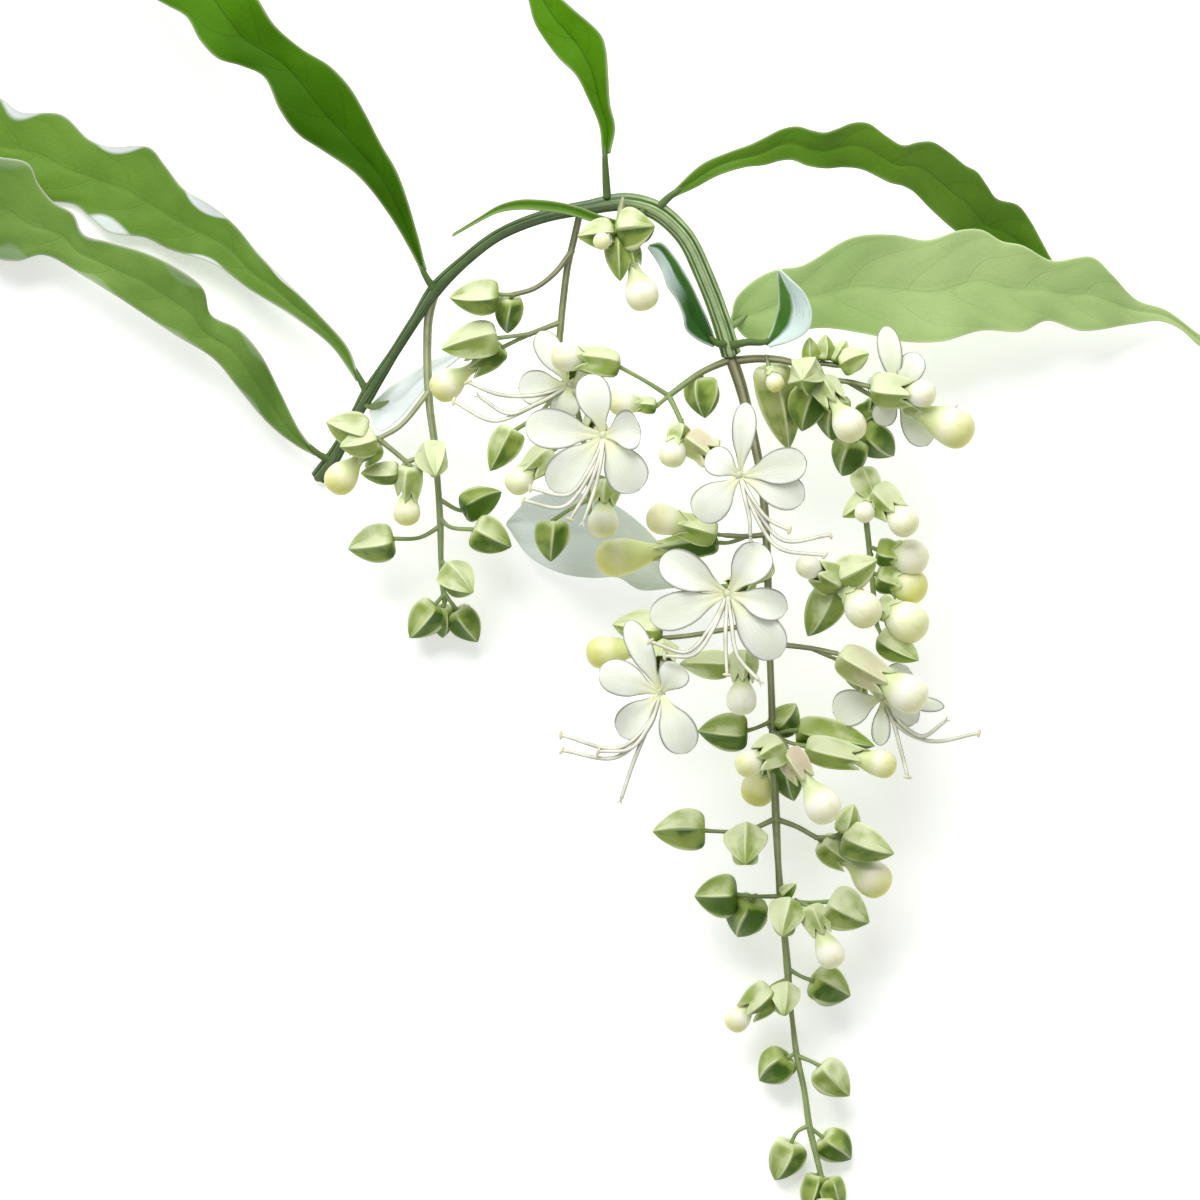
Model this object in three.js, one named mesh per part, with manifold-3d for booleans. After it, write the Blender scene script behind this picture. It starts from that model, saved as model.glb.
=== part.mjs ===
// A cut flowering spray of pendant jasmine, lying on a table: a four-angled stem that arches over,
// long waved leaves, racemes of angular calyces with round buds, and open flowers with long stamens.
// Millimetres. +Z is up from the table, +Y runs towards the top of the spray. Each point is [x, y, z],
// measured from the middle of the view, and the finished spray is then moved to its own middle.
import * as THREE from "three";
import Module from "manifold-3d";

const wasm = await Module();
wasm.setup();

// Driving dimensions
const SPRAY_MIDDLE = [-14.4, 15.9]; // middle of the spray's outline on the table, moved to the origin
const SEAT_GAP = 0.3; // clearance where one piece is seated on another
const LEAF_THICK = 0.7;
const PETAL_THICK = 0.6;
const FILAMENT_RADIUS = 0.36;
const ANTHER_RADIUS = 0.62;
const STYLE_RADIUS = 0.38;
const FLOWER_TUBE_RADIUS = 0.85;
const FLOWER_THROAT_RADIUS = 1.3;
const FLOWER_TUBE_SHAPE = { sides: 5, steps: 2 };
const THREAD_TAPER = 0.9; // radius of a thread just before its end, as a share of its own
const STALK_RADIUS = 0.45;
const STALK_FOOT = 1.15; // how much wider a stalk starts than it ends
const BRANCH_RADIUS = 0.55;
const AXIS_SIDES = 4;
const CALYX_SIDES = 5;
const FLOWER_CALYX = { length: 6.4, wide: 6.2 };
const BUD_CALYX = { length: 6.4, wide: 6.2 };
const STEM_RIDGES = 4;
const STEM_STEPS = 23;
const TUBE_END = 0.35; // how far a tube's end bulges, of its radius
const STEM_HOLLOW = 0.74; // radius between two ridges as a share of the ridge radius
const ROOM_FILL = 0.1; // how much less hollow the room round the stem is, for each millimetre of clearance
const TABLE_SIZE = 400;
const TABLE_DEPTH = 60;

// Finishes
const FINISH = {
  stem: { color: 0x6f8a4a, roughness: 0.5 },
  leaf: { color: 0x4f8a2c, roughness: 0.42 },
  pale_leaf: { color: 0x9dbb78, roughness: 0.5 },
  calyx: { color: 0xa9c46c, roughness: 0.5 },
  petal: { color: 0xf3f4ee, roughness: 0.6 },
};

// The main stem: [x, y, z, ridge radius] from the cut end over the arch to the last leaf pair.
const STEM = [
  [-56.4, 24.4, 1.1, 1.6],
  [-53.6, 28, 3.4, 1.7],
  [-50.6, 33, 7, 1.3],
  [-48, 38, 10.6, 1.4],
  [-46.2, 41, 13, 1.7],
  [-41, 49, 18.4, 1.2],
  [-36.4, 56, 23.4, 1.3],
  [-32.6, 61.6, 27.4, 1.9],
  [-27, 67, 30.6, 1.9],
  [-20, 72.2, 33.6, 2],
  [-11, 75.8, 36, 2.1],
  [-2, 77.6, 37.2, 2.1],
  [5, 78.6, 37.6, 2],
  [11, 77, 37.2, 2],
  [16.6, 72, 35.6, 1.9],
  [20.4, 64.6, 33.4, 1.9],
  [23.4, 57, 31, 1.9],
  [26, 48.6, 29, 2],
];

// Each leaf has its two edges seen from above, from the stalk to the tip, and along its middle the
// heights. tilt raises the second edge and lowers the first, keel raises both, and the waves ripple
// the edges up and down.
const LEAVES = {
  leaf_a: {
    finish: "leaf",
    stalk: [[-32.9, 61.8, 28], [-34.2, 63.6, 28.6], [-36.4, 68, 29.6]],
    first: [
      [-35.4, 65], [-38, 70], [-42, 76.6], [-48, 84], [-55, 89], [-60, 92.4], [-63.4, 97],
      [-66.6, 103.6], [-71, 105.8], [-75.6, 107.2], [-79.2, 110.8], [-82, 115.6], [-86, 118],
      [-90.4, 120.6], [-96, 126], [-100, 133], [-106, 140], [-111, 148], [-117.6, 156],
    ],
    second: [
      [-34.4, 65.4], [-36, 72], [-40, 84.4], [-43.4, 90.4], [-46.6, 96.6], [-49.6, 101.6],
      [-53.6, 105.8], [-58.8, 109], [-64.4, 113.8], [-68.4, 120], [-74, 125.6], [-80, 129],
      [-87, 134.6], [-95, 139], [-102, 147], [-110, 152], [-117, 156.8],
    ],
    heights: [29, 31, 31, 28, 22, 14, 6],
    tilt: 0.1, keel: 0.16, waves: 6, ripple: 0.9, rows: 22,
  },
  leaf_b: {
    finish: "leaf",
    stalk: [[-46.4, 41.4, 13.2], [-47.6, 43.6, 13.4], [-50, 48, 13]],
    first: [
      [-48, 44], [-50, 50], [-56, 57], [-62, 63], [-68, 69], [-73, 75], [-78, 79], [-83, 82],
      [-87, 87], [-90, 90.4], [-98, 90.6], [-102, 92], [-107.6, 97], [-116, 97.6], [-120, 100.4],
      [-127, 101], [-133, 104], [-141, 104], [-149, 105.4], [-156.6, 104.6],
    ],
    second: [
      [-48.6, 43.6], [-53.6, 50.6], [-62, 57], [-70, 62], [-77, 67], [-86, 70], [-91, 72.4],
      [-98, 73.4], [-102, 76.6], [-105, 79], [-112, 80], [-119, 83], [-127, 85], [-134, 90],
      [-142, 93], [-150, 99], [-156.8, 103.8],
    ],
    heights: [13.4, 10.5, 5.6, 2.4, 1.5, 0.9, 0.3],
    tilt: -0.1, keel: 0.06, waves: 6, ripple: 0.7, rows: 22,
  },
  leaf_c: {
    finish: "leaf",
    stalk: [[-53.8, 28, 3.6], [-56, 29, 4.4], [-60, 32.6, 6]],
    first: [
      [-56.6, 29.4], [-60, 34], [-64, 42], [-67.6, 49], [-72, 54], [-77.6, 57], [-79, 62],
      [-84, 66], [-90, 69], [-98, 71.4], [-103, 73], [-105, 77], [-109, 79.4], [-112, 83],
      [-114, 87], [-120, 88.4], [-127, 90], [-133, 87.6], [-140, 87], [-147, 84], [-157.4, 82.2],
    ],
    second: [
      [-57, 28.8], [-60, 30.4], [-66, 35], [-72, 42], [-77, 48], [-85, 53], [-94, 59], [-102, 64],
      [-111, 68.8], [-116, 67.6], [-120, 68], [-126, 71], [-133, 71], [-140, 76], [-148, 77],
      [-157.4, 81.4],
    ],
    heights: [4.6, 8.4, 10.6, 9.6, 7, 3.6, 0.4],
    tilt: -0.1, keel: 0.08, waves: 6, ripple: 0.8, rows: 22,
  },
  leaf_d: {
    finish: "leaf",
    stalk: [[1.4, 79.4, 38], [1.2, 83, 39], [1, 87, 39.6], [1, 92, 39.6]],
    first: [
      [0.4, 88], [-0.2, 93.6], [-2.6, 99.4], [-4.8, 103.6], [-8.2, 107], [-11, 110.8],
      [-13, 114.2], [-14.6, 120], [-17, 126], [-20, 130], [-25, 138.6],
    ],
    second: [
      [2, 88.2], [3, 93.2], [2, 97.8], [1.6, 103.6], [1.2, 108.6], [0.2, 111.6], [-5.6, 117],
      [-8.6, 120], [-12, 125], [-16, 129], [-20.6, 134], [-24.6, 139],
    ],
    heights: [39.6, 39, 36, 31, 25],
    tilt: 0.25, keel: 0.2, waves: 3.5, ripple: 0.6, rows: 14,
  },
  leaf_e: {
    finish: "leaf",
    stalk: [[11.6, 77.6, 37.6], [14.2, 80, 38], [18.4, 82.6, 38]],
    first: [
      [13.4, 79.8], [20, 85.6], [29.6, 90], [38, 92.6], [46, 93.4], [52.4, 94.4], [58, 91.6],
      [65, 90.4], [70, 88], [74.2, 86.2], [78.6, 80.4], [83.8, 78.8], [87.6, 73.4], [90, 68.4],
      [93, 64], [97, 58.6],
    ],
    second: [
      [14, 79.2], [20, 82], [32.8, 86.2], [38.4, 86.4], [51.8, 85], [57.6, 82], [60.8, 82],
      [64.6, 77.8], [70.4, 73.2], [76, 69], [83, 67], [88, 62.6], [96.6, 58],
    ],
    heights: [38, 38, 34.6, 27, 14.6, 4.6, 0.3],
    tilt: -0.1, keel: 0.12, waves: 6, ripple: 0.7, rows: 22,
  },
  leaf_f: {
    finish: "pale_leaf",
    stalk: [[24.8, 53, 29.4], [26.4, 54.4, 26.4], [29.6, 57, 23.6]],
    first: [
      [26, 56], [27, 60], [31, 63.8], [35, 65.6], [40, 66.4], [50, 72], [58, 72.6], [65, 71.6],
      [72, 73.6], [76, 73.6], [80, 71.4], [84, 70.6], [90, 67.6], [98, 68.4], [102, 65],
      [107, 60], [113, 58], [120, 53], [128.6, 48],
    ],
    second: [
      [26.8, 54.6], [29, 52], [33, 51.4], [38, 53], [44, 54], [52, 53], [60, 51.4], [68, 51.4],
      [76, 53.6], [84, 53.4], [89, 55.6], [96, 53.6], [106, 55], [112, 55.6], [116, 54],
      [120, 50.6], [128.4, 47.2],
    ],
    heights: [24.6, 21, 18, 15, 11, 4.6, 0.3],
    tilt: -0.08, keel: 0.08, waves: 7, ripple: 0.7, rows: 22,
  },
  leaf_g: {
    finish: "leaf",
    stalk: [[8.6, 77.2, 38.4], [7.6, 75.2, 39.6], [4.6, 73.4, 40], [1, 74.4, 40.6]],
    first: [
      [4.6, 74.6], [0, 76], [-4, 77.5], [-8, 78.5], [-12, 79], [-16, 79], [-20, 77.9],
      [-24, 75.5], [-29, 72.4],
    ],
    second: [
      [4.4, 73.4], [-1.6, 74.6], [-5, 75.7], [-8, 76.4], [-12, 76.8], [-16, 77], [-20, 76.4],
      [-24, 74.6], [-29.2, 71.8],
    ],
    heights: [40.2, 41, 40.6, 40, 38.6],
    tilt: 0.1, keel: 0.2, waves: 2, ripple: 0.15, rows: 10,
  },
  leaf_h: {
    finish: "leaf",
    stalk: [[25.4, 50.8, 30.2], [23.2, 50.8, 32.2], [21, 53, 33.2]],
    first: [
      [22.4, 50], [19.6, 51.2], [17, 53.4], [16.4, 56], [15.2, 59], [13.2, 62], [12.2, 65],
      [9.4, 69.6],
    ],
    second: [
      [23, 51.2], [22, 54], [20.2, 58], [17.4, 63.6], [14.6, 68], [12, 70.6], [9.8, 70.2],
    ],
    heights: [31.6, 34.4, 37, 38.4, 38.6],
    tilt: -0.1, keel: 0.5, waves: 3, ripple: 0.4, rows: 10,
  },
  leaf_i: {
    finish: "leaf",
    stalk: [[26.2, 50.4, 31], [29.2, 51, 32.6], [32.4, 51, 32.6], [35, 52.4, 32.9]],
    first: [[32.6, 50.6], [34.2, 54], [35.2, 58], [35.2, 62], [35, 65]],
    second: [[33.6, 50], [38, 51.2], [41.2, 53.4], [41.8, 57], [40.4, 60.6], [37.8, 63.2], [35.6, 65.2]],
    heights: [32.4, 33.4, 34.6, 36, 37],
    tilt: 0.45, keel: 0.2, waves: 2, ripple: 0.4, rows: 8,
  },
  leaf_j: {
    finish: "pale_leaf",
    stalk: [[-47, 39.4, 12], [-45.4, 38.6, 11.4], [-42, 39.6, 10.6]],
    first: [[-45, 39.6], [-42, 42.6], [-38, 45], [-34.4, 47.4], [-30, 49.2], [-25.6, 51]],
    second: [[-46, 37.6], [-44, 33.6], [-40, 36], [-36.6, 40], [-33, 44], [-29, 47.4], [-25.4, 50.4]],
    heights: [11, 10, 9.4, 9, 9],
    tilt: 0.3, keel: 0.1, waves: 2, ripple: 0.3, rows: 9,
  },
  leaf_k: {
    finish: "pale_leaf",
    stalk: [[32.6, 4.4, 25.6], [26, 2.6, 20], [19, 2.8, 15], [13, 4, 11.4]],
    first: [[15, 2.4], [8, 2], [3.6, 4.4], [-2, 4.4], [-8, 5.4], [-14, 8.6], [-18.8, 15]],
    second: [[15.4, 4], [12, 11], [6, 17], [0, 20.4], [-8, 21.6], [-14, 20.4], [-18.4, 16]],
    heights: [13, 10, 7, 4.6, 3.4],
    tilt: 0.08, keel: 0.08, waves: 3, ripple: 0.5, rows: 12,
  },
};

// Each raceme has an axis [x, y, z, radius], closed calyces (pods) and calyces with a round bud. A
// stalk runs from the axis, or from another stalk, to the base of its calyx.
const RACEMES = {
  raceme_left: {
    axis: [
      [-32.8, 60.8, 26.6, 1], [-34, 56, 23.4, 0.9], [-34.3, 50, 21.4, 0.85], [-34.2, 44, 20.4, 0.85],
      [-33.8, 38, 19, 0.8], [-33, 32, 17.6, 0.75], [-32.6, 27, 16.3, 0.7], [-32.2, 22, 14.8, 0.65],
      [-31.8, 15, 12.6, 0.7], [-31.7, 8, 10, 0.55], [-31.4, 3, 7.6, 0.6], [-31, -0.4, 6, 0.5],
    ],
    stalks: [
      [[-34, 41.5, 20], [-39.6, 34.6, 22], [-44, 32, 22.5]],
      [[-44, 32, 22.5], [-41, 29.6, 21], [-38.4, 27.4, 20]],
      [[-33, 31, 17.4], [-36, 28.4, 19], [-38.4, 27.4, 20]],
    ],
    pods: [
      { stalk: [[-33, 32, 17.6], [-33.4, 30, 19.4]], tip: [-32.6, 24.6, 25.5], wide: 6 },
      { stalk: [[-44, 32, 22.5], [-46.6, 33.4, 23.4]], tip: [-54.4, 35.4, 25], wide: 6.6 },
      { stalk: [[-44, 32, 22.5], [-45, 31.8, 24]], tip: [-51.6, 30.4, 26.4], wide: 5.6 },
      { stalk: [[-38.4, 27.4, 20], [-40.2, 25.6, 19.5]], tip: [-47.6, 25.2, 18.8], wide: 4.6 },
      {
        stalk: [[-32, 14.6, 12.4], [-36, 12.4, 13], [-41.4, 12.2, 12.6]],
        tip: [-50.2, 10.2, 12], wide: 7,
      },
      { stalk: [[-32, 16.6, 13.2], [-30, 14.6, 14], [-25, 14, 13.4]], tip: [-17.6, 10.6, 13], wide: 7 },
      {
        stalk: [[-31.9, 20, 14.2], [-28.4, 18, 11], [-27, 17.8, 10]],
        tip: [-19.6, 21.6, 8.4], wide: 6.2,
      },
      { stalk: [[-31.7, 8, 10], [-30, 5.6, 11]], tip: [-25.4, 1.4, 16.5], wide: 6.6 },
      { stalk: [[-31.2, 1, 6.8], [-33, -1, 6.4]], tip: [-38, -7.6, 5.4], wide: 6.4 },
      { stalk: [[-31, -0.4, 6], [-31.4, -1.4, 5.8]], tip: [-31.4, -7.6, 3.4], wide: 5 },
      { stalk: [[-31.2, 1.6, 7], [-28.6, -2, 6]], tip: [-24.4, -8.4, 4.4], wide: 5.6 },
    ],
    buds: [
      {
        stalk: [[-44, 32, 22.5], [-44.6, 31.6, 22.2]],
        ball: [-51.4, 24.2, 20.5], size: 6.4, calyx: 5.4,
      },
      { stalk: [[-38.4, 27.4, 20], [-37.6, 26.6, 20]], ball: [-38.4, 17.6, 18], size: 5.4 },
    ],
  },
  raceme_centre: {
    axis: [
      [-4.2, 75.6, 34.6, 0.7], [-5, 72, 33.4, 0.7], [-6.4, 66, 32, 0.7], [-7.2, 60, 31, 0.7],
      [-7.8, 54, 29.6, 0.7], [-8, 50.4, 28.6, 0.65], [-6.6, 44, 26.6, 0.6], [-4.4, 37, 25, 0.6],
      [-3, 30, 23.6, 0.55], [-2.2, 23, 22, 0.5], [-2, 17, 20.5, 0.45],
    ],
    stalks: [
      [[-5.6, 69, 32.7], [-9, 64.6, 33.6], [-13, 61.6, 34], [-17, 60.4, 34]],
      [[-7.9, 55, 29.8], [-11, 53.8, 29.6], [-14, 52.6, 30.4]],
    ],
    pods: [
      { stalk: [[-17, 60.4, 34], [-20.2, 60.4, 34]], tip: [-29.8, 59.8, 34], wide: 6.4 },
      { stalk: [[-17, 60.4, 34], [-17.6, 59.8, 32.6]], tip: [-18.4, 52.8, 28.4], wide: 5 },
      { stalk: [[-14, 52.6, 30.4], [-20.6, 51.8, 31.6]], tip: [-31.4, 49.6, 32], wide: 7 },
      { stalk: [[-6.6, 44, 26.6], [-12, 37, 25], [-17, 33.6, 24]], tip: [-21.8, 25.6, 24], wide: 5.8 },
      { stalk: [[-2.2, 20, 21.3], [-6, 18, 21], [-9.6, 15.6, 20.4]], tip: [-9.8, 7.6, 20], wide: 6.4 },
    ],
    buds: [
      { stalk: [[-14, 52.6, 30.4], [-19.4, 50, 29.4]], ball: [-30.4, 42.6, 27], size: 6.4, calyx: 8 },
      { stalk: [[-4, 35, 24.6], [-7.6, 31, 26], [-9.6, 29.4, 28]], ball: [-16, 23.6, 29], size: 5.4 },
      {
        stalk: [[-2.2, 24, 22.2], [0, 24.4, 23.6], [1.6, 23.6, 24.6]],
        ball: [0.6, 15.4, 26.6], size: 6, calyx: 5,
      },
    ],
    sockets: [
      { stalk: [[-7.8, 51, 28.7], [-4.6, 47, 27.6], [-3.4, 44.6, 27.4]], flower: "flower_0", calyx: 4.6 },
      { stalk: [[-4, 35, 24.6], [-2.4, 34.6, 27], [-1.4, 34.4, 28.4]], flower: "flower_1" },
    ],
  },
  cyme_left: {
    axis: [
      [25.4, 47.4, 28.6, 0.8], [20, 45, 32, 0.65], [13.6, 40.4, 34, 0.6],
    ],
    stalks: [
      [[13.6, 40.4, 34], [14.8, 38, 35], [16, 35.4, 36]],
    ],
    pods: [
      { stalk: [[20, 45, 32], [20.2, 43.6, 29.6]], tip: [20.8, 36, 31], wide: 6.4 },
    ],
    buds: [
      {
        stalk: [[13.6, 40.4, 34], [8.4, 43.6, 35.5], [3.6, 46.2, 36.6]],
        ball: [-6.6, 48, 38.4], size: 5.8, calyx: 9,
      },
      {
        stalk: [[13.6, 40.4, 34], [11, 38.2, 35]],
        ball: [4.4, 39, 36], size: 5.2, calyx: 4, wide: 3.6,
      },
      {
        stalk: [[16, 35.4, 36], [15.8, 34.6, 36.6]],
        ball: [14.4, 29, 38], size: 5.4, calyx: 4.6, wide: 5,
      },
    ],
    sockets: [
      { stalk: [[16, 35.4, 36], [17.4, 32, 36.4]], flower: "flower_2" },
    ],
  },
  cyme_apex: {
    axis: [
      [4.4, 78.6, 38.8, 0.7], [4, 76.4, 42, 0.6], [3.4, 72.8, 44.6, 0.6],
    ],
    stalks: [],
    pods: [
      { stalk: [[3.4, 72.8, 44.6], [2, 72.2, 44.6]], tip: [-4.4, 71.6, 47.6], wide: 5.8 },
      { stalk: [[3.4, 72.8, 44.6], [4.4, 72.8, 44.4]], tip: [10.8, 73.6, 47.4], wide: 7 },
      { stalk: [[3.4, 72.8, 44.6], [3.4, 71, 44]], tip: [4, 62.8, 45.4], wide: 5 },
    ],
    buds: [
      {
        stalk: [[3.4, 72.8, 44.6], [2, 71.4, 46]],
        ball: [0.4, 70.6, 49.4], size: 3.4, calyx: 2.4, wide: 2.6,
      },
      {
        stalk: [[3.4, 72.8, 44.6], [5.2, 70, 43.6]],
        ball: [8.2, 60.4, 44], size: 6.6, calyx: 4.6, wide: 4.8,
      },
    ],
    sockets: [],
  },
  raceme_right: {
    axis: [
      [27, 47.4, 28.4, 0.9], [32, 47.8, 29.8, 0.8], [38, 47, 31.4, 0.7], [44, 43.6, 30.4, 0.7],
      [48, 38, 28.6, 0.65], [50.4, 31, 27, 0.65], [51.6, 24, 26, 0.6], [53, 14, 25, 0.6],
      [54, 4, 23, 0.55], [55, -5, 22, 0.5],
    ],
    stalks: [
      [[44, 43.6, 30.4], [49, 43.2, 32], [53.4, 42.2, 33]],
      [[53.6, 9, 24], [50.6, 5.6, 27.5], [47.6, 3.4, 30]],
      [[40, 46.2, 31.2], [43.4, 46.8, 32], [47, 46.4, 32]],
    ],
    pods: [
      { stalk: [[40, 46.2, 31.2], [41, 45, 33.5]], tip: [39.8, 43.4, 40.5], wide: 7 },
      { stalk: [[42, 45, 30.8], [42, 42, 29.6]], tip: [40, 33.4, 28], wide: 7 },
      { stalk: [[46, 40.8, 29.4], [46.6, 39.8, 29]], tip: [46, 31.6, 26], wide: 7 },
      { stalk: [[33, 48, 30.6], [33.6, 46, 28]], tip: [37.4, 29.8, 24], wide: 8 },
      { stalk: [[42, 46.6, 31.6], [42, 47.4, 32]], tip: [41.4, 52, 33.4], wide: 3.6 },
      { stalk: [[43.6, 46.8, 32], [44.2, 47.6, 32]], tip: [44.6, 52.6, 32.6], wide: 3.6 },
      { stalk: [[46, 46.6, 32], [46.6, 47, 31.6]], tip: [48.8, 51.4, 31.6], wide: 3.8 },
      { stalk: [[47, 46.4, 32], [48, 46.2, 32.6]], tip: [53.2, 48.8, 34], wide: 4.8 },
      { stalk: [[50.4, 31, 27], [50.4, 31.6, 26.6]], tip: [48, 24.6, 23.6], wide: 7 },
      { stalk: [[49.6, 34, 27.6], [52.2, 33.6, 24.4]], tip: [58.4, 28.6, 20.6], wide: 6.4 },
      { stalk: [[51.4, 26, 26.2], [51.8, 25.4, 27]], tip: [54.8, 19.2, 30], wide: 5.2 },
      { stalk: [[52, 21, 25.6], [53.2, 20.6, 27]], tip: [48, 16.4, 29.4], wide: 4.6 },
      { stalk: [[47.6, 3.4, 30], [48, 4.4, 31]], tip: [54.8, 8, 34], wide: 6.4 },
      { stalk: [[47.6, 3.4, 30], [46.4, 2.2, 27.6]], tip: [41.2, -7.2, 24.6], wide: 7 },
      { stalk: [[55, -5, 22], [56, -7.4, 23.6]], tip: [63.2, -12, 27], wide: 5.6 },
    ],
    buds: [
      { stalk: [[43, 44.8, 30.8], [43.4, 43.4, 33]], ball: [49.2, 34.6, 38], size: 6.6 },
      {
        stalk: [[53.4, 42.2, 33], [54, 42, 33]],
        ball: [63.6, 40.8, 35], size: 5.4, calyx: 8.4, wide: 7.4,
      },
      {
        stalk: [[49, 43.2, 32], [56, 39.4, 30.6], [60.6, 38.6, 31]],
        ball: [70, 34, 33], size: 7.8, calyx: 4, wide: 4,
      },
      {
        stalk: [[33, 48, 30.6], [33.4, 46, 31.4]],
        ball: [34.6, 43, 32.6], size: 3.6, calyx: 2, wide: 2.4,
      },
      {
        stalk: [[52, 21, 25.6], [53.4, 20, 28.6]],
        ball: [52.4, 17.4, 31.6], size: 4, calyx: 2.4, wide: 3,
      },
      {
        stalk: [[51.8, 22.6, 25.8], [54.4, 21.6, 27.4]],
        ball: [60, 15.6, 30.4], size: 6, calyx: 7.4, wide: 7.6,
      },
      { stalk: [[53.4, 10.6, 24.5], [55, 10, 24.4]], ball: [61.6, 8.6, 24.4], size: 7 },
      { stalk: [[53.8, 5.6, 23.3], [55, 5, 23]], ball: [61.4, 2.8, 22.4], size: 7 },
      {
        stalk: [[47.6, 3.4, 30], [46.8, 3.6, 31]],
        ball: [41.2, 6.6, 35.4], size: 4.8, calyx: 7, wide: 7,
      },
      {
        stalk: [[47.6, 3.4, 30], [48.2, 2.6, 30.6]],
        ball: [52, -1.8, 33.6], size: 7.2, calyx: 3.4, wide: 4.6,
      },
      {
        stalk: [[54.4, 0, 22.6], [55.6, -0.6, 23.6]],
        ball: [61, -4.4, 26.4], size: 8, calyx: 4.4, wide: 5.6,
      },
    ],
    sockets: [
      { stalk: [[50, 32.6, 27.3], [50.4, 34.6, 22.6], [52.4, 36.4, 20.4]], flower: "flower_6", calyx: 5 },
    ],
  },
  raceme_main: {
    axis: [
      [26.6, 46.2, 28.4, 1.3], [28, 42, 27.8, 1.2], [30, 34, 27.2, 1], [32, 24, 26.6, 0.85],
      [33, 12, 26, 0.8], [33.4, 0, 25, 0.75], [33.6, -8, 24, 0.7], [34, -18, 22.4, 0.7],
      [34.3, -26, 21, 0.8], [34.7, -36, 19, 0.75], [35, -43.6, 17.4, 0.85], [35.5, -53, 15, 0.65],
      [36, -59.4, 13.2, 0.85], [36.8, -67, 10.8, 0.7], [37.4, -73.6, 8.8, 0.8],
      [37.8, -79, 7.6, 0.6], [38.4, -84, 6.6, 0.5], [39.2, -90.4, 5.6, 0.65],
      [40.8, -98, 4.8, 0.6], [41.8, -105, 4.2, 0.7], [43.2, -111, 3.8, 0.6], [44.6, -117, 3.4, 0.55],
      [45, -119.6, 3.2, 0.5],
    ],
    stalks: [
      [[33, 13, 26], [29, 12.6, 28], [25, 12.8, 28.6]],
      [[33.5, -4, 24.5], [26, -5.6, 27], [18, -7, 28], [12, -7.6, 28.4]],
      [[33.5, -7.4, 24.1], [30, -10.4, 28], [27, -12, 30]],
      [[33.7, -8.6, 23.9], [42, -9.6, 27.5], [47, -10.6, 29]],
      [[34.3, -26, 21], [36, -28, 26], [36.8, -29, 30]],
      [[35, -43.4, 17.4], [31.6, -45, 18.6], [28.6, -46.2, 19.4]],
      [[35.1, -43.6, 17.4], [39, -45, 18.4], [43, -47.2, 19.4]],
    ],
    pods: [
      { stalk: [[32.4, 9, 25.8], [32.2, 8, 28]], tip: [30.8, 3.4, 33], wide: 4.6 },
      { stalk: [[27, -12, 30], [25.4, -13, 30.6]], tip: [15.8, -12.6, 31], wide: 5.2 },
      { stalk: [[12, -7.6, 28.4], [12, -6, 28.6]], tip: [2.4, -4.8, 27], wide: 6.4 },
      { stalk: [[34.2, -24, 21.4], [31, -25.4, 22], [29, -26, 22.4]], tip: [19.4, -26, 22], wide: 7 },
      { stalk: [[34.3, -26, 21], [35, -26, 20]], tip: [39, -20.6, 17.6], wide: 5.6 },
      {
        stalk: [[34.3, -26.6, 20.9], [37, -26, 22], [39.6, -25.8, 22.6]],
        tip: [54.6, -29, 21], wide: 6.4,
      },
      { stalk: [[34.5, -30, 20.2], [36, -30.8, 19.6]], tip: [38.6, -40, 16], wide: 6.4 },
      {
        stalk: [[28.6, -46.2, 19.4], [24, -46, 19.6], [20.6, -45.8, 19.6]],
        tip: [10.4, -46, 19.4], wide: 7.6,
      },
      { stalk: [[28.6, -46.2, 19.4], [29, -46.4, 20.2]], tip: [28.8, -52.4, 26.6], wide: 7.4 },
      { stalk: [[43, -47.2, 19.4], [48.6, -47, 20.6]], tip: [58.4, -50.4, 21.6], wide: 7 },
      { stalk: [[46, -47.2, 20.2], [48.4, -46, 21]], tip: [50.4, -40.4, 23], wide: 4.2 },
      { stalk: [[35.9, -59, 13.3], [31, -59, 13], [27, -58.6, 13]], tip: [18.8, -59, 12.4], wide: 8 },
      { stalk: [[31, -59, 13], [30.4, -60, 12]], tip: [27.4, -67.2, 8.4], wide: 7.6 },
      {
        stalk: [[36, -59.6, 13.2], [41, -60.2, 14.6], [45.8, -60, 15.4]],
        tip: [53.6, -64.2, 16], wide: 8,
      },
      { stalk: [[36, -59.4, 13.2], [37, -60.8, 15.6]], tip: [36.2, -66.8, 20.6], wide: 6.8 },
      { stalk: [[36, -59.2, 13.3], [36.6, -58.8, 14.6]], tip: [39, -56.4, 16.4], wide: 2.8 },
      { stalk: [[37.4, -73.4, 8.8], [40, -75, 8.4], [42.6, -76, 8]], tip: [50, -79, 6], wide: 7 },
      { stalk: [[37.6, -76, 8.2], [37, -77.4, 9.4]], tip: [36.6, -82.8, 13.6], wide: 5.6 },
      { stalk: [[39.2, -90.4, 5.6], [37.4, -91.4, 5.4]], tip: [31.8, -96, 3.4], wide: 6.8 },
      { stalk: [[39.4, -91, 5.6], [42, -92, 6.6], [44, -93, 7]], tip: [49.8, -99, 6.6], wide: 6.4 },
      {
        stalk: [[41.6, -105, 4.2], [39.4, -106.2, 4.2], [38.2, -108.4, 3.3]],
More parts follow.
